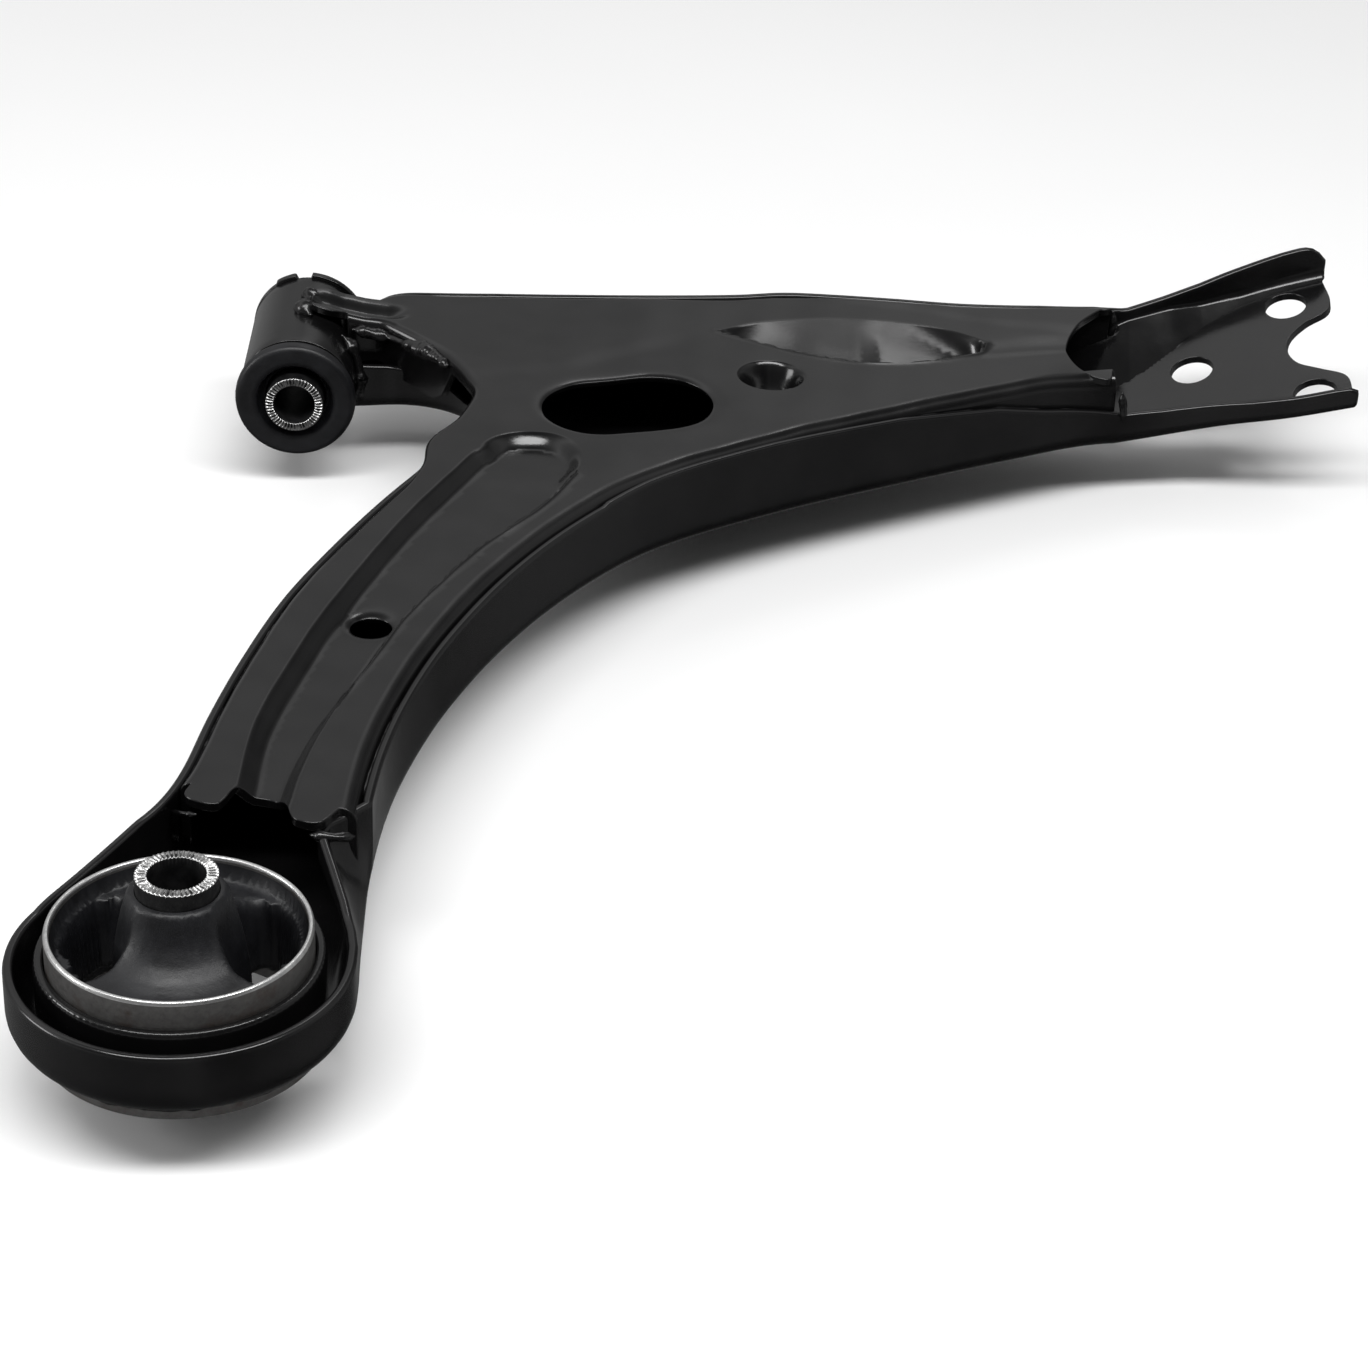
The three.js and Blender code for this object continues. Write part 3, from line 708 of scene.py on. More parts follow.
RIM_BY_Y = [
    (-60, -9.6), (18, -9.6), (32, -7), (50, -3.4), (120, -3), (240, -3.2), (270, -3.4), (278, -2),
    (283, -4), (292, -19), (330, -19),
]
NECK_RIM_BY_X = [(10, -11.5), (28, -13), (42, -15.3), (47, -17.2), (53, -20), (62, -19)]
FRONT_RIM_BY_X = [
    (100, -2.6), (112, -2), (150, -2), (190, -3.4), (222, -7), (238, -11), (264, -16), (276, -15),
    (288, -13.2), (303, -11), (319, -7.8), (330, -5), (335, -4), (338, -5.5),
]
BACK_RIM_BY_X = [
    (14, -3), (26, -2.2), (60, -1.5), (240, -1.5), (258, -2), (269, -3.2), (282, 0), (295, 3.5),
    (303, 6.2), (322, 12), (329, 13.8), (332.5, 13.2), (336, 9.5),
]
# the back wall's foot: how far in from the edge the floor begins to rise, and how high it comes
SLANT_REACH = [(250, 25), (270, 21), (284, 14), (295, 8.5), (309, 5), (338, 4)]
SLANT_RISE = [(240, 0), (256, 7), (270, 9.8), (284, 8.4), (295, 5.2), (309, 3.1), (338, 2.5)]


FLAT_TO_X = 200  # the floor is flat up to here, and bends into the tilted plate beyond
BEND_EASE = 5.0
TILTED_SHEET = SHEET * 1.045  # the plate's thickness measured straight down
back_curve = spline(BACK_SIDE, 2.5)


def shell_floor(p):
    """Height of the lower shell's underside."""
    plate = PLATE_POINT[2] - (p - PLATE_POINT[:2]) @ PLATE_TILT - TILTED_SHEET
    gap = plate - FLOOR
    bend = 0.5 * (gap + np.sqrt(gap**2 + BEND_EASE**2)) - 0.5 * BEND_EASE * np.exp(-(gap**2) / 200)
    floor = np.where(p[:, 0] < FLAT_TO_X, FLOOR, np.maximum(FLOOR + bend, FLOOR))
    away, _ = to_line(p, back_curve)
    t = np.clip(1 - away / along(SLANT_REACH, p[:, 0]), 0, 1)
    return floor + along(SLANT_RISE, p[:, 0]) * t**1.08


def near_rim(line):
    """Free edge of the wall from the neck round the cup to the plate."""
    x, y = line[:, 0], line[:, 1]
    rim = along(RIM_BY_Y, y)
    neck = (y > 283) & (x < 64)
    rim = np.where(neck, np.where(y > 300, along(NECK_RIM_BY_X, x), rim), rim)
    front = x >= 100
    return np.where(front, along(FRONT_RIM_BY_X, x), rim)


SHELL_RADIUS, CUP_EXTRA, NECK_RADIUS = 6.0, 2.5, 4.5
NEAR_RADIUS_FROM_X = 265
NEAR_RADIUS_BY_X = [(265, 6), (285, 5), (310, 4), (338, 3.2)]
FAR_RADIUS_BY_X = [
    (14, 4.0), (40, 6), (240, 6), (260, 3.2), (270, 1.8), (292, 1.8), (306, 2.2), (338, 2.8),
]
near_x, near_y = shell_near.T
near_radius = SHELL_RADIUS + CUP_EXTRA * np.exp(-((np.hypot(near_x, near_y + 4) / 50) ** 6))
by_x = along(NEAR_RADIUS_BY_X, near_x)
near_radius = np.where(near_x > NEAR_RADIUS_FROM_X, by_x, near_radius)
near_radius = np.where((near_y > 325) & (near_x < 60), NECK_RADIUS, near_radius)
far_radius = along(FAR_RADIUS_BY_X, shell_far[:, 0])

near_inner = moved_in(shell_near, near_radius)[-1]
far_inner = moved_in(shell_far, far_radius)[-1]
plate_cut = spline([near_inner[-1]] + PLATE_END + [far_inner[0]], 1.4)[1:-1]
neck_cut = resample(np.array([far_inner[-1], near_inner[0]]), 2.0)[1:-1]

shell_holes = [circle(x, y, PLATE_HOLE_RADIUS + LIP)[::-1] for x, y in PLATE_HOLES]
shell_holes.append(circle(0, 0, 35.0 + LIP, 1.6)[::-1])
slant_foot = spline(BACK_SIDE[:6], 1.4)
foot_reach = along(SLANT_REACH, slant_foot[:, 0])[:, None]
foot_shares = (1.06, 0.78, 0.87, 0.95, 1.0)
shell_rows = [slant_foot + left_of(slant_foot) * foot_reach * share for share in foot_shares]
shell_rows += [circle(x, y, PLATE_HOLE_RADIUS + 2.0) for x, y in PLATE_HOLES]
fine_x, fine_y = np.meshgrid(np.arange(246, 337, 1.3), np.arange(352, 394, 1.15))
shell_rows.append(np.column_stack([fine_x.ravel(), fine_y.ravel()]))

verts, normals, faces, lips = pressing(
    [
        (shell_far, far_radius, along(BACK_RIM_BY_X, shell_far[:, 0])),
        (neck_cut,),
        (shell_near, near_radius, near_rim(shell_near)),
        (plate_cut,),
    ],
    shell_floor,
    1,
    shell_holes,
    shell_rows,
    spacing=3.0,
)
# the neck's open end follows the tube that it is welded to
TUBE_GRIP = 0.7  # how far the neck's sheet sinks into the tube
NECK_END_X = 16.2
LEAN_BY_Y = [(6, 0), (13, 0.8), (24, 3.2), (36, 6.6), (46, 9.6), (50, 9.4), (55, 4), (60, 0)]
x, y, z = verts.T
reach = np.sqrt(np.clip((TUBE_RADIUS - TUBE_GRIP) ** 2 - (z - TUBE_Z) ** 2, 0, None))
in_neck = (y > 325) & (y < 380)
x = np.where((x < reach) & in_neck, reach, x)
x = np.where((x < NECK_END_X) & in_neck, np.minimum(x, np.maximum(reach, 4)), x)
# the wall leans in beside the cup's mouth and runs under the cover's end
x = x - np.where(x > 24, along(LEAN_BY_Y, y) * smooth((z + 23) / 14), 0)
verts = np.column_stack([x, y, z])
normals = np.where(x[:, None] > FLAT_TO_X, normals, averaged(verts, faces))
verts, faces, normals = thickened(verts, normals, faces, lips)
piece("lower_shell_pressing", verts, faces, COAT, "arm", ["lower_shell"], normals)

# ---------------------------------------------------------------- upper cover
BEAD_LEFT = [
    (6.8, 42), (6.9, 66), (8.3, 96), (15.4, 131.7), (23.6, 163.4), (38.9, 209.7), (53.8, 246.4),
    (59.8, 259.5),
]
BEAD_END = [
    (59.8, 259.5), (64.5, 266.8), (71.5, 271), (80.5, 271), (87.5, 267), (91.6, 259.5), (92, 250.5),
    (89.6, 242.5),
]
BEAD_RIGHT = [
    (89.6, 242.5), (80.1, 221), (64, 196), (52.6, 172), (44, 152), (38.6, 134), (31.5, 109.6),
    (25, 78), (22, 42),
]
LEAF_BACK = [(134, 347), (143, 353.5), (155, 358), (172, 360), (194, 358), (209, 353), (220, 344)]
LEAF_FRONT = [
    (220, 344), (216, 335.5), (201, 328), (183, 325.5), (164, 330.5), (148, 338), (134, 347),
]
OBLONG = {"x": 105, "y": 292, "length": 53, "width": 37, "turn": 0.28}
LEG_HOLE = (35, 155.5, 5.5)
DIMPLE = {"x": 150, "y": 315, "mouth": 11.0, "hole": 4.8, "depth": 9.0}
BEAD_DEPTH, BEAD_SLOPE, BEAD_END_SLOPE = 4.0, 5.6, 6.0
FOLD_WIDTH_BY_Y = [(50, 7), (100, 4.5), (135, 2.0), (150, 1.2), (250, 1.2)]
LEAF_DEPTH_BY_X = [(134, 4.4), (158, 5.8), (179, 6.3), (186, 9.2), (216, 9.2)]
LEAF_WALL = 1.7
STRIP_RISE, STRIP_WIDTH = 0.9, 9.0
CREASE_RISE, CREASE_WIDTH = 0.5, 10.0
STRIP_EDGE = [(150, 379), (175, 373), (194, 370), (213, 363), (226, 359), (239, 357), (252, 354.5)]
VALLEY = [(212, 338), (225, 340), (238, 343), (250, 345)]
CREASE = [(52, 312), (58, 311), (72, 314), (84, 317), (103, 330), (128, 344), (140, 352)]
TONGUE_TOP = [(-2, 5.6), (3, 5.5), (8, 4.6), (13, 2.9), (20, 1.5), (28, 0.7), (38, 0.2), (50, 0)]

bead_left, bead_end, bead_right = (spline(p, 1.6) for p in (BEAD_LEFT, BEAD_END, BEAD_RIGHT))
bead_ring = joined(bead_left, bead_end, bead_right)
leaf_back, leaf_front = spline(LEAF_BACK, 1.6), spline(LEAF_FRONT, 1.6)
leaf_ring = joined(leaf_back, leaf_front)[:-1]
strip_edge, valley, crease = (spline(p, 4.0) for p in (STRIP_EDGE, VALLEY, CREASE))


def oblong(grow=0.0, step=1.2):
    """A ring round the oblong opening, grown by so much."""
    end = OBLONG["width"] / 2 + grow
    reach = OBLONG["length"] / 2 - OBLONG["width"] / 2
    angle = np.linspace(-math.pi / 2, math.pi / 2, 40)
    half = np.column_stack([reach + end * np.cos(angle), end * np.sin(angle)])
    ring = np.vstack([half, -half, half[:1]])
    c, s = math.cos(OBLONG["turn"]), math.sin(OBLONG["turn"])
    ring = ring @ np.array([[c, s], [-s, c]]) + [OBLONG["x"], OBLONG["y"]]
    return resample(ring, step)[:-1]


oblong_ring = oblong()


def cover_top(p):
    """Height of the cover's upper skin."""
    x, y = p[:, 0], p[:, 1]
    z = np.zeros(len(p))
    # the long bead down the leg: a broad slope on its left, a crisp fold on its right
    left, _ = to_line(p, bead_left)
    right, _ = to_line(p, bead_right)
    end, _ = to_line(p, bead_end)
    within = inside(p, bead_ring)
    dip = smooth(left / BEAD_SLOPE) * smooth(right / along(FOLD_WIDTH_BY_Y, y))
    z -= BEAD_DEPTH * np.where(within, dip * smooth(end / BEAD_END_SLOPE), 0)
    crisp = smooth((y - 95) / 45) * smooth((252 - y) / 12)
    z += 0.6 * crisp * np.exp(-((right / 0.9) ** 2)) * ~within
    z -= 0.8 * crisp * np.exp(-(((right - 1.6) / 0.8) ** 2)) * within
    # the leaf: its floor slopes down from the back edge to a steep front wall
    in_leaf = inside(p, leaf_ring)
    back, _ = to_line(p, leaf_back)
    front, _ = to_line(p, leaf_front)
    share = back / np.maximum(back + front, 1e-6)
    leaf = along(LEAF_DEPTH_BY_X, x) * share
    z -= np.where(in_leaf, leaf * smooth(front / LEAF_WALL), 0)
    z += 0.45 * np.exp(-((front / 1.1) ** 2)) * ~in_leaf
    # the oblong opening's rim rolls down
    away = -depth_in(p, oblong_ring)
    z -= 1.1 * np.exp(-np.maximum(away, 0) / 1.2)
    # the dimple's funnel
    r = np.hypot(x - DIMPLE["x"], y - DIMPLE["y"])
    z -= DIMPLE["depth"] * smooth((DIMPLE["mouth"] - r) / (DIMPLE["mouth"] - DIMPLE["hole"] - 0.5))
    # dished rim of the leg's hole
    r = np.hypot(x - LEG_HOLE[0], y - LEG_HOLE[1])
    z -= 1.6 * np.exp(-np.maximum(r - LEG_HOLE[2], 0) / 1.5)
    # the strip along the back edge stands a little proud, and a shallow valley runs to the plate
    away, hand = to_line(p, strip_edge)
    z += STRIP_RISE * smooth(0.5 + hand * away / STRIP_WIDTH) * smooth((x - 150) / 30)
    away, _ = to_line(p, valley)
    z -= 1.3 * np.exp(-((away / 5.5) ** 2)) * smooth((x - 210) / 12)
    # the neck rises from a crease, and its tongue climbs the tube
    away, hand = to_line(p, crease)
    rise = CREASE_RISE * smooth(0.5 + hand * away / CREASE_WIDTH)
    z += rise * smooth((135 - x) / 30) * smooth((y - 296) / 16)
    tongue = along(TONGUE_TOP, x)
    trough = 2.6 * np.exp(-(((y - 354) / 4.0) ** 2)) * smooth((37 - x) / 10) * smooth((x + 1) / 8)
    trough -= 0.7 * np.exp(-(((y - 346.5) / 2.0) ** 2)) * smooth((34 - x) / 8)
    z += tongue * smooth((y - 336) / 8) * smooth((372 - y) / 8) - trough
    # the front corner beside the plate sinks
    z -= 3.0 * smooth((x - 228) / 34) * smooth((345 - y) / 22)
    # pressed sheet is never quite flat
    wave = np.sin(x / 9.7 + 1.3 * np.sin(y / 21)) * np.sin(y / 12.3 + 0.8)
    return z + 0.16 * wave + 0.09 * np.sin(x / 4.1 + y / 6.3) * np.sin(y / 5.2 - x / 11)


# places that the cover's edge lines run through where they leave the shell's walls
NECK_TURN = [(30, 371), (25.5, 368), (23, 363.5)]
NECK_EDGE = [
    (15.5, 344.6), (21, 345.4), (26, 345.6), (32, 340.5), (39, 334), (46, 326), (51, 317),
    (55, 308), (57, 301), (54.5, 288), (50.6, 276.5), (45.6, 267), (44.3, 261), (44.4, 252),
    (42.6, 243.5),
]
PLATE_NOTCH = [
    (257.5, 324), (250.5, 327), (246.6, 333), (245.4, 341), (247, 349.5), (251, 358.5), (256, 366),
    (259.6, 370.2),
]
TONGUE_EDGE = [
    (17, 361.6), (9, 361.2), (5.2, 360.6), (3.6, 358), (3.2, 352), (3.6, 347.5), (5.5, 345.4),
    (9, 345), (13, 346.4),
]
CUP_EDGE = [
    (-5, 59.4), (-2.5, 56.6), (2.6, 55.2), (4.6, 57.6), (6.4, 62.4), (9.5, 64.4), (14.5, 64.2),
    (18.5, 62), (20.6, 57), (22.2, 50.8), (24.5, 48), (29.5, 47.4),
]
SKIRT_FOOT = -18.0
NEAR_SKIRT_BY_Y = [
    (60, -18), (234, -18), (243, -4), (268, -4), (276, -10), (279, -12), (282, -4.5), (321, -4.5),
    (326, -15), (330, -18), (343, -16), (350, -6),
]
NEAR_CORNER_BY_Y = [(60, 3.4), (236, 3.4), (246, 2.4), (268, 2.4), (280, 3.6), (350, 3.0)]
BACK_CORNER_BY_X = [(20, 3.0), (40, 4.0), (263, 4.0)]
FRONT_CORNER = 4.6

front_line, back_line, leg_line = (
    moved_in(spline(side, 1.8), SHEET + CLEARANCE)[-1] for side in (FRONT_SIDE, BACK_SIDE, LEG_SIDE)
)
front_line = front_line[(front_line[:, 1] > 53) & (front_line[:, 0] < 261.5)]
back_line = back_line[(back_line[:, 0] < 263) & (back_line[:, 0] > 34)]
back_line = relaxed(joined(back_line, spline([back_line[-1]] + NECK_TURN, 1.6)), 3)
leg_line = leg_line[(leg_line[:, 1] < 232) & (leg_line[:, 1] > 64)]
near_line = relaxed(joined(spline(NECK_EDGE + [leg_line[0]], 1.6), leg_line), 4)

front_corner = np.full(len(front_line), FRONT_CORNER)
back_corner = along(BACK_CORNER_BY_X, back_line[:, 0])
near_corner = along(NEAR_CORNER_BY_Y, near_line[:, 1])
front_in = moved_in(front_line, front_corner)[-1]
back_in = moved_in(back_line, back_corner)[-1]
near_in = moved_in(near_line, near_corner)[-1]
plate_notch = spline([front_in[-1]] + PLATE_NOTCH + [back_in[0]], 1.2)[1:-1]
tongue_end = spline([back_in[-1]] + TONGUE_EDGE + [near_in[0]], 1.2)[1:-1]
cup_edge = spline([near_in[-1]] + CUP_EDGE + [front_in[0]], 1.0)[1:-1]

dimple, (leg_x, leg_y, leg_hole) = (DIMPLE["x"], DIMPLE["y"]), LEG_HOLE
cover_holes = [
    oblong(LIP)[::-1],
    circle(leg_x, leg_y, leg_hole + LIP, 0.9)[::-1],
    circle(*dimple, DIMPLE["hole"] + LIP, 0.9)[::-1],
]
cover_rows = [circle(*dimple, r, 1.1) for r in np.arange(5.6, 12.6, 0.8)]
cover_rows += [circle(leg_x, leg_y, leg_hole + r, 1.1) for r in (1.2, 2.1, 3.2)]
for line, places in (
    (bead_right, (0.0, -0.45, -0.9, -1.35, 0.6, 1.3, -2.0, -2.9, -3.9, -5.0, -6.2)),
    (bead_left, (0.0, -1.0, -2.0, -3.0, -4.0, -5.2, 1.0)),
    (bead_end, (0.0, -0.9, -1.8, -2.7, -3.6, -4.5, 1.0)),
    (leaf_front, (0.0, -0.5, -1.0, -1.6, 0.6, 1.3, -2.4)),
    (leaf_back, (0.0, -1.0, -2.0, -3.0, 1.0)),
):
    cover_rows += [line + left_of(line) * place for place in places]
cover_rows += [oblong(grow) for grow in (1.0, 1.8, 2.8)]

verts, normals, faces, _ = pressing(
    [
        (front_line, front_corner, np.full(len(front_line), SKIRT_FOOT)),
        (plate_notch,),
        (back_line, back_corner, np.full(len(back_line), SKIRT_FOOT)),
        (tongue_end,),
        (near_line, near_corner, along(NEAR_SKIRT_BY_Y, near_line[:, 1])),
        (cup_edge,),
    ],
    cover_top,
    -1,
    cover_holes,
    cover_rows,
    spacing=2.0,
)
verts, faces, normals = thickened(verts, normals, faces)
piece("upper_cover_pressing", verts, faces, COAT, "arm", ["upper_cover"], normals)

# ---------------------------------------------------------------- rear bush
RIM_TEETH, TOOTH_DEPTH = 50, 0.75


def serrated(top, bottom, bore, radius):
    """A sleeve whose two end faces carry fine radial teeth."""

    def end(face, inward):
        flat = [(r, face) for r in np.linspace(bore + 0.35, radius - 0.35, 7)]
        corner = [(radius - 0.1, face + inward * 0.12)]
        return flat + corner + [(radius, face + inward * z) for z in (0.4, 0.62, 1.0)]

    profile = end(top, -1)
    profile += [(radius, z) for z in np.linspace(top - 3, bottom + 3, 5)]
    profile += end(bottom, 1)[::-1]
    profile += [(bore + 0.1, bottom + 0.12), (bore, bottom + 0.45)]
    profile += [(bore, z) for z in np.linspace(bottom + 3, top - 3, 5)]
    profile += [(bore, top - 0.45), (bore + 0.1, top - 0.12)]
    rng = np.random.default_rng(5)
    jitter = rng.uniform(0.6, 1.0, RIM_TEETH * 2)

    def wobble(a, r, z):
        turn = a / (2 * math.pi) * RIM_TEETH
        wave = 0.5 - 0.5 * math.cos(2 * math.pi * turn)
        depth = TOOTH_DEPTH * jitter[int(turn) % RIM_TEETH] * wave**0.8
        on_face = np.clip((radius - 0.3 - r) / 0.5, 0, 1) * np.clip((r - bore - 0.25) / 0.4, 0, 1)
        z = z - np.where(z > top - 0.3, depth * (0.4 + 0.6 * on_face), 0)
        z = z + np.where(z < bottom + 0.3, depth * (0.4 + 0.6 * on_face), 0)
        return r, z

    return turned(profile[::-1], RIM_TEETH * 8, wobble)


def second_material(obj, material, chosen):
    """Give the chosen faces of a piece another material."""
    obj.data.materials.append(material)
    for polygon in obj.data.polygons:
        if chosen(polygon):
            polygon.material_index = 1


def sleeve(name, node, body, top, bottom, bore, radius, lay=np.asarray):
    """A serrated sleeve, bright on its end faces and dull on its side and in its bore."""
    verts, faces = serrated(top, bottom, bore, radius)
    radii = np.hypot(verts[:, 0], verts[:, 1])
    depth = (top - bottom) / 2 - np.abs(verts[:, 2] - (top + bottom) / 2)

    def dull(polygon):
        ids = list(polygon.vertices)
        on_face = bore + 0.3 < radii[ids].mean() < radius - 0.15
        return depth[ids].mean() > (0.5 if on_face else 0.48)

    obj = piece(name, lay(verts), faces, STEEL, body, [node])
    second_material(obj, DULL, dull)


sleeve("rear_sleeve_serrated", "rear_inner_sleeve", "rear_sleeve", SLEEVE_TOP, SLEEVE_BOTTOM, 7, 10)
sleeve("front_sleeve_serrated", "front_inner_sleeve", "front_sleeve", 382.4, 315.6, 6.5, 9.1, lying)

CAN_PROFILE = [(30.5, -32), (32, -32), (32, -0.9), (31.6, 0), (30.8, 0), (30.5, -0.6)]
verts, faces = turned(densified(rounded(CAN_PROFILE, 0.25, 2), 4), 160)
can = piece("rear_can_drawn", verts, faces, CAN, "arm", ["rear_outer_can"])
second_material(can, RIM_STEEL, lambda polygon: polygon.center.z > ORIGIN[2] - 1.0 * MM)

HOUSING_PROFILE = [
    (32.3, -31), (34.8, -31), (34.8, -12), (34.8, -8.2), (34.2, -7), (32.6, -7), (32.3, -7.6),
]
KNURLS = 110


def knurl(a, r, z):
    tooth = 0.10 * (0.5 + 0.5 * math.cos(a * KNURLS))
    return r - np.where((z > -9.5) & (r > 34), tooth, 0), z


verts, faces = turned(densified(rounded(HOUSING_PROFILE, 0.5), 3), 4 * KNURLS, knurl)
housing = piece("rear_housing_ring", verts, faces, COAT, "arm", ["rear_bush_housing"])
second_material(housing, CAN, lambda polygon: polygon.center.z < ORIGIN[2] - 27.0 * MM)

# the rubber: its upper skin over the plan, mirrored below, with two voids that go through
RUBBER_TOP = [
    (10.2, 10.4), (11.4, 10.2), (12.2, 9.2), (12.9, 6.8), (14.4, 3.2), (17, -0.4), (20, -2.9),
    (23.5, -4.6), (27, -5.4), (29.2, -5.0), (29.7, -4.2), (30.05, -2.4), (30.3, -1.4),
]
RUBBER_MIDDLE = -15.0
HUB_RADIUS, LINER_RADIUS, VOID_INNER, VOID_OUTER = 10.2, 30.3, 15.4, 27.2
ROLL = 4.2  # rounding of the rubber beside a void
VOID_FRONT, VOID_BACK = 0.46, 0.66
VOID_MEET = -22.0  # height where the upper and lower skins meet in a void


def void_ring(sign):
    """Plan of one void: a toothed wall outside, a rounded lobe of the hub inside."""
    front, back = VOID_FRONT, VOID_BACK
    outer = []
    for a in np.linspace(-front, back, 181):
        tooth = 0.6 * (0.5 + 0.5 * math.cos(a * 103))
        stop = 3.0 * math.exp(-(((a + front - 0.12) / 0.13) ** 2))
        outer.append((VOID_OUTER - tooth - stop, a))
    lobe = np.linspace(back + 0.1, -front - 0.1, 41)
    bulge = [(VOID_INNER + 1.5 * math.cos(3.0 * (a - 0.1)) ** 2, a) for a in lobe]
    corner_a = [(VOID_OUTER - 3.2, back + 0.1), (VOID_INNER + 4.4, back + 0.15)]
    corner_b = [(VOID_INNER + 4.4, -front - 0.15), (VOID_OUTER - 3.2, -front - 0.1)]
    polar = outer + corner_a + bulge + corner_b
    ring = np.array([(sign * r * math.cos(a), r * math.sin(a)) for r, a in polar])
    if sign < 0:
        ring = ring[::-1]
    return resample(closed(ring), 0.42)[:-1]


voids = [void_ring(1), void_ring(-1)]


def rubber_height(p):
    """Heights of the rubber's upper and lower skins."""
    r = np.hypot(p[:, 0], p[:, 1])
    share = np.ones(len(p))
    for ring in voids:
        away = np.maximum(-depth_in(p, ring), 0)
        width = np.where(r > VOID_OUTER - 1.2, 1.6, ROLL)
        t = np.clip(away / width, 0, 1)
        share = np.minimum(share, np.sqrt(np.clip(1 - (1 - t) ** 2, 0, 1)))
    full = along(RUBBER_TOP, r)
    upper = VOID_MEET + (full - VOID_MEET) * share
    return upper, VOID_MEET - (full - 2 * RUBBER_MIDDLE + VOID_MEET) * share


SECTORS = 12
hub_ring = circle(0, 0, HUB_RADIUS, 1.1)
liner_ring = circle(0, 0, LINER_RADIUS, 1.3)
spokes = [2 * math.pi * (k + 0.5) / SECTORS for k in range(SECTORS)][::-1]
spoke = np.arange(HUB_RADIUS + 0.9, LINER_RADIUS - 0.6, 1.1)
rubber_rows = [np.column_stack([spoke * math.cos(a), spoke * math.sin(a)]) for a in spokes]
for ring in voids:
    for angle in (18, 32, 46, 60, 75, 90):
        out = ROLL * (1 - math.cos(math.radians(angle)))
        rubber_rows.append(ring - left_of(closed(ring))[:-1] * out)
rubber_rows += [circle(0, 0, r, 1.2) for r in (10.8, 11.5, 12.2, 13, 14, 15.3)]
rubber_rows.append(staggered((-31, -31), (31, 31), 1.3, 1.1))


def rubber_mesh():
    """Both skins of the rubber, which share their corners where they meet in the voids."""
    loops = [liner_ring, hub_ring[::-1]] + [v[::-1] for v in voids]
    points = np.zeros((0, 2))
    for row in rubber_rows:
        points = np.vstack([points, kept(row, loops, 0.12, points, 0.4)])
    plan, triangles, _ = triangulated(loops, points)
    upper, lower = rubber_height(plan)
    count = len(plan)
    below = np.arange(count) + np.where(upper - lower < 1e-6, 0, count)
    verts = np.vstack([np.column_stack([plan, z]) for z in (upper, lower)])
    return verts, triangles.tolist() + below[triangles[:, ::-1]].tolist()


verts, faces = rubber_mesh()
normals = averaged(verts, faces)
middle = np.array([verts[f].mean(0) for f in faces])
turn = np.arctan2(middle[:, 1], middle[:, 0]) / (2 * math.pi)
sector = np.floor(np.mod(turn * SECTORS + 0.5, SECTORS)).astype(int)
for k in range(SECTORS):
    own = [f for f, s in zip(faces, sector) if s == k]
    ids = sorted({v for f in own for v in f})
    place = {v: i for i, v in enumerate(ids)}
    own = [[place[v] for v in f] for f in own]
    name = f"rear_rubber_sector_{k:02d}"
    obj = piece(name, verts[ids], own, RUBBER, None, ["rear_rubber"], normals[ids])
    angle = 2 * math.pi * k / SECTORS
    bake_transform(obj)

# ---------------------------------------------------------------- front bush
TUBE_PROFILE = [(15.6, 325.6), (18, 325.6), (18, 374), (15.6, 374)]
verts, faces = turned(densified(rounded(TUBE_PROFILE, 0.5), 4), 128)
piece("front_tube_skin", lying(verts), faces, COAT, "arm", ["front_bush_tube"])

LIP_PROFILE = [(13.9, 325), (15.3, 325), (15.3, 374.3), (19, 374.3), (19, 377), (13.9, 377)]


def lip_notch(a, r, z):
    """A locating notch on top of the lip, where the turned angle points up."""
    turn = math.degrees(math.atan2(math.sin(a + math.pi / 2), math.cos(a + math.pi / 2)))
    depth = 2.9 * smooth(np.array((8.5 - abs(turn + 4)) / 3.0))
    depth = max(depth, 0.85 * smooth(np.array((66 - abs(turn + 98)) / 4.0)))
    return r - np.where((z > 374) & (r > 16), depth, 0), z


verts, faces = turned(densified(rounded(LIP_PROFILE, 0.45), 3), 240, lip_notch)
piece("front_can_lipped", lying(verts), faces, COAT, "arm", ["front_outer_can"])

FRONT_RUBBER_PROFILE = [
    (9.4, 323.2), (10.6, 323.0), (11.6, 320.4), (12.0, 318.6), (13.4, 318), (17.4, 318.1),
    (18.6, 318.9), (19, 320.6), (19, 321.8), (18.5, 322.8), (16.4, 323.1), (16.2, 325.0),
    (15, 325.2), (13.6, 325.2), (13.6, 377.3), (16.2, 377.4), (16.5, 378.6), (15.4, 379.7),
    (11, 379.6), (9.4, 378.8),
]
verts, faces = turned(densified(rounded(FRONT_RUBBER_PROFILE, 0.6), 3), 128)
piece("front_rubber_moulded", lying(verts), faces, RUBBER, "arm", ["front_rubber"])


# ---------------------------------------------------------------- welds
GROOVE = 3.4  # from the shell's plan to the groove between its wall and the cover


def weld_piece(name, path, radius, seed, flatness=0.85, rough=0.28, **ripples):
    verts, faces = bead(path, radius, seed, flatness, rough, **ripples)
    piece(name + "_bead", verts, faces, WELD, "arm", [name])


def seam_piece(name, side, ends, seed, rim, drop, size):
    """A seam weld along the groove beside a side of the shell, between two places."""
    line = moved_in(side, GROOVE)[-1]
    first, last = sorted(np.argmin(np.linalg.norm(line - place, axis=1)) for place in ends)
    line = line[first : last + 1]
    drop = np.full(len(line), drop)
    path = np.column_stack([line, np.minimum(drop, rim(*line.T) - 0.4)])
    weld_piece(name, path, size, seed, 0.8, 0.1, ripple=4.0, ripple_depth=0.02)


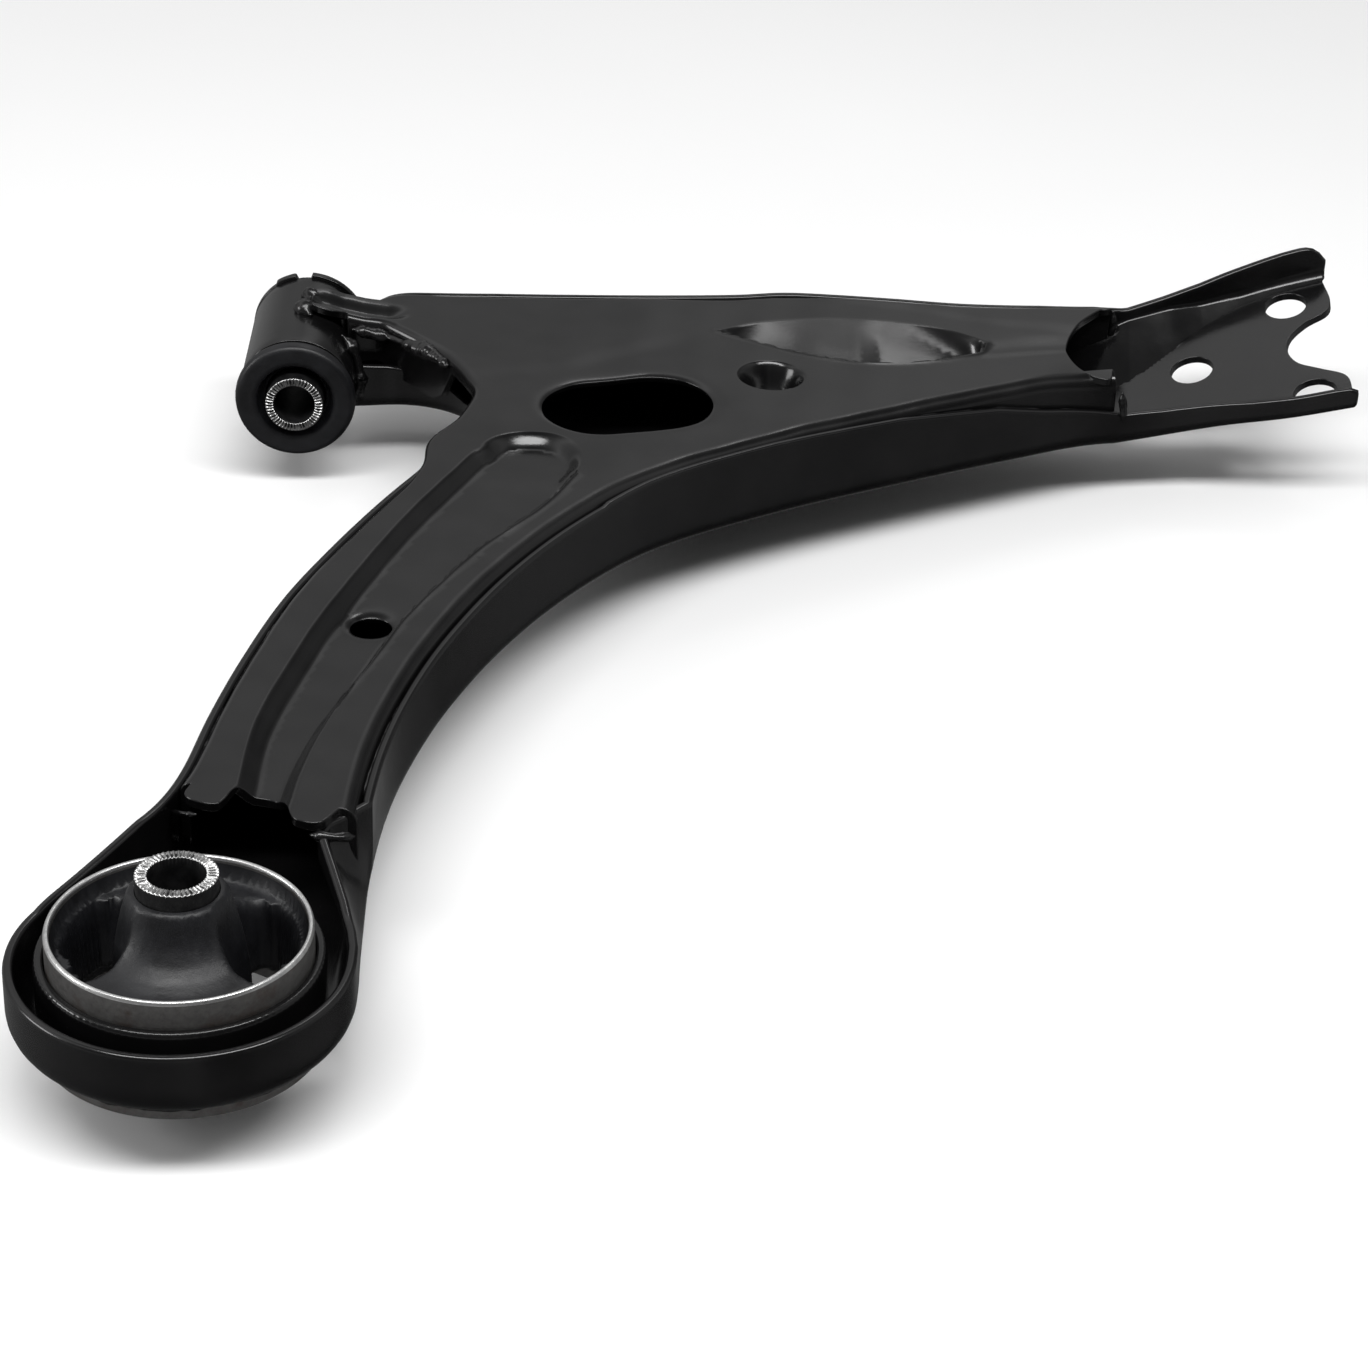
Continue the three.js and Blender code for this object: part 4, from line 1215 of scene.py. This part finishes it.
def front_rim(x, y):
    return np.where(x > 100, along(FRONT_RIM_BY_X, x), along(RIM_BY_Y, y))


leg_seam = joined(neck_near[-14:], leg_side)
seam_piece("front_seam_weld", front_side, ((44, 66), (252, 316)), 11, front_rim, -4.7, 1.35)
seam_piece("back_seam_weld", back_side, ((256, 374), (40, 371)), 12, lambda x, y: -1.6, -2.8, 1.7)
seam_piece(
    "leg_seam_weld", leg_seam, ((46, 262), (-6, 69)), 13, lambda x, y: along(RIM_BY_Y, y), -4.2, 1.6
)


def on_tube(angle, y, lift):
    reach = TUBE_RADIUS + lift
    return (reach * math.cos(angle), y, TUBE_Z + reach * math.sin(angle))


TOP_RUN = [
    (1.40, 343.6, 0.6), (1.50, 347, 0.8), (1.51, 353, 0.9), (1.49, 358, 0.8), (1.38, 361.5, 0.6),
]
NEAR_RUN, FAR_RUN = (-0.6, -0.35, -0.1, 0.15, 0.4, 0.62, 0.8), (-0.7, -0.3, 0.1, 0.5)
SKIRT_RUN = [
    (16.5, 343.6, -1.0), (22, 344.2, -2.2), (27, 343.6, -3), (32, 339.4, -2.8), (38, 333.6, -2.2),
    (44, 327.6, -2.2), (48.5, 321, -2.6),
]
weld_piece("neck_top_weld", [on_tube(*place) for place in TOP_RUN], 2.4, 21)
weld_piece("neck_bottom_weld", [on_tube(-0.757, y, 0.4) for y in (340, 346, 353, 361)], 1.6, 22)
weld_piece("neck_near_weld", [on_tube(a, 338.4, 1.2) for a in NEAR_RUN], 2.9, 23)
weld_piece("neck_far_weld", [on_tube(a, 365.0, 0.5) for a in FAR_RUN], 1.8, 24)
weld_piece("neck_skirt_weld", SKIRT_RUN, 2.2, 25, rough=0.42)
SHORT_WELDS = [
    ("cover_end_weld_left", [(-9.6, 60, -6), (-6, 57.2, -4.8), (-2, 55, -3.6)], 1.3, 26),
    ("cover_end_weld_right", [(27, 46.6, -3.6), (33, 46.2, -3.8), (38, 49, -5.2)], 1.3, 27),
    ("plate_end_weld_front", [(262.6, 323, -17), (262.8, 323.4, -12), (262.4, 323.6, -7)], 1.5, 28),
    (
        "plate_end_weld_back",
        [(264.5, 374.2, -12), (264.8, 374.2, -7), (264.6, 374.4, -1.5)],
        1.6,
        29,
    ),
]
for short_weld in SHORT_WELDS:
    weld_piece(*short_weld)
ring_angle = np.linspace(0, 2 * math.pi, 220)
ring_path = [(35.5 * math.cos(a), 35.5 * math.sin(a), FLOOR - 0.2) for a in ring_angle]
weld_piece("rear_housing_weld", ring_path, 0.8, 30)

# ---------------------------------------------------------------- floor, light, camera
floor_mesh = bpy.data.meshes.new("studio_floor")
FLOOR_SIZE = 6.0
floor_z = cad_box[0][2]
corners = [(-1, -1), (1, -1), (1, 1), (-1, 1)]
floor_corners = [(x * FLOOR_SIZE, y * FLOOR_SIZE, floor_z) for x, y in corners]
floor_mesh.from_pydata(floor_corners, [], [(0, 1, 2, 3)])
floor_object = bpy.data.objects.new("studio_floor", floor_mesh)
bpy.context.scene.collection.objects.link(floor_object)
floor_look, tree, shader, coords = material("studio_floor_matt", (0.86, 0.86, 0.86), 0.7)
floor_tint = ramp(tree, noise_node(tree, coords, 3, 3), [(0.3, 0.93), (0.7, 0.96)])
tree.links.new(floor_tint, shader.inputs["Base Color"])
floor_mesh.materials.append(floor_look)
floor_object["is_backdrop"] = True
floor_object.visible_glossy = False

SKY_BY_HEIGHT = [
    (0.0, 0.03), (0.2, 0.1), (0.36, 0.25), (0.5, 0.27), (0.65, 0.25), (0.75, 0.41), (0.8, 0.52),
    (0.85, 0.85), (0.88, 0.75), (0.93, 0.3), (1.0, 0.12),
]
SKY_BY_SIDE = [
    (0.0, 1.4), (0.45, 1.0), (0.5, 0.95), (0.545, 1.3), (0.6, 1.3), (0.66, 0.55), (0.78, 0.3),
    (0.85, 0.7), (0.95, 1.1),
]
world = bpy.data.worlds.new("studio")
bpy.context.scene.world = world
world.use_nodes = True
sky = world.node_tree
coords = sky.nodes.new("ShaderNodeTexCoord")
split = sky.nodes.new("ShaderNodeSeparateXYZ")
sky.links.new(coords.outputs["Generated"], split.inputs[0])
heights = ramp(sky, spread(sky, split.outputs["Z"], 0, 1, -1, 1), SKY_BY_HEIGHT)
sides = ramp(sky, spread(sky, split.outputs["X"], 0, 1, -1, 1), SKY_BY_SIDE)
# the sky over the camera is dim
over = spread(sky, split.outputs["Z"], 0, 1, 0.0, 0.15)
before = spread(sky, split.outputs["Y"], 1, 0, -0.4, -0.1)
dim = node(sky, "Math", {0: over, 1: before}, "Value", operation="MULTIPLY")
background = sky.nodes["Background"].inputs
sky.links.new(mixed(sky, 1.0, heights, sides, "MULTIPLY"), background["Color"])
sky.links.new(spread(sky, dim, 1.0, 0.3, 0, 1), background["Strength"])

CENTRE = ORIGIN + np.array([150, 190, -15]) * MM


def softbox(name, direction, distance, size, power):
    """A rectangular light that faces the part's middle."""
    light = bpy.data.lights.new(name, "AREA")
    light.shape = "RECTANGLE"
    light.size, light.size_y = size
    light.energy = power
    obj = bpy.data.objects.new(name, light)
    away = Vector(direction).normalized()
    obj.location = Vector(CENTRE) + away * distance
    obj.rotation_euler = away.to_track_quat("Z", "Y").to_euler()
    bpy.context.scene.collection.objects.link(obj)


softbox("key_overhead", (0.03, -0.36, 0.93), 1.6, (2.1, 0.38), 31)
softbox("back_overhead", (0.12, 0.6, 0.79), 2.0, (0.42, 0.26), 1.3)
softbox("side_left", (-0.95, -0.1, 0.35), 1.8, (0.7, 0.5), 8)

FOCAL_PIXELS, FRAME_PIXELS, SENSOR = 3568.0, 1368.0, 36.0
PITCH, YAW, ROLL_ANGLE = math.radians(30.0), math.radians(1.6), math.radians(2.11)
CAMERA_PLACE = (97.7, -703.4, 475.4)
camera_data = bpy.data.cameras.new("camera")
camera_data.sensor_width = SENSOR
camera_data.lens = FOCAL_PIXELS / FRAME_PIXELS * SENSOR
camera_data.clip_start, camera_data.clip_end = 0.01, 50
camera = bpy.data.objects.new("camera", camera_data)
level = math.cos(PITCH)
forward = Vector((math.sin(YAW) * level, math.cos(YAW) * level, -math.sin(PITCH)))
right = Vector((math.cos(YAW), -math.sin(YAW), 0))
upward = right.cross(forward)
c, s = math.cos(ROLL_ANGLE), math.sin(ROLL_ANGLE)
turned_right = c * right + s * upward
turned_up = -s * right + c * upward
axes = Matrix((turned_right, turned_up, -forward)).transposed()
place = Vector(ORIGIN + np.array(CAMERA_PLACE) * MM)
camera.matrix_world = Matrix.Translation(place) @ axes.to_4x4()
bpy.context.scene.collection.objects.link(camera)
bpy.context.scene.camera = camera
bpy.context.scene.view_settings.view_transform = "Standard"


def plain(value):
    """Numbers of a box as plain lists."""
    if hasattr(value, "__len__"):
        return [plain(v) for v in value]
    return float(value)


{"cad": plain(cad_box), "visual": plain(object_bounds())}
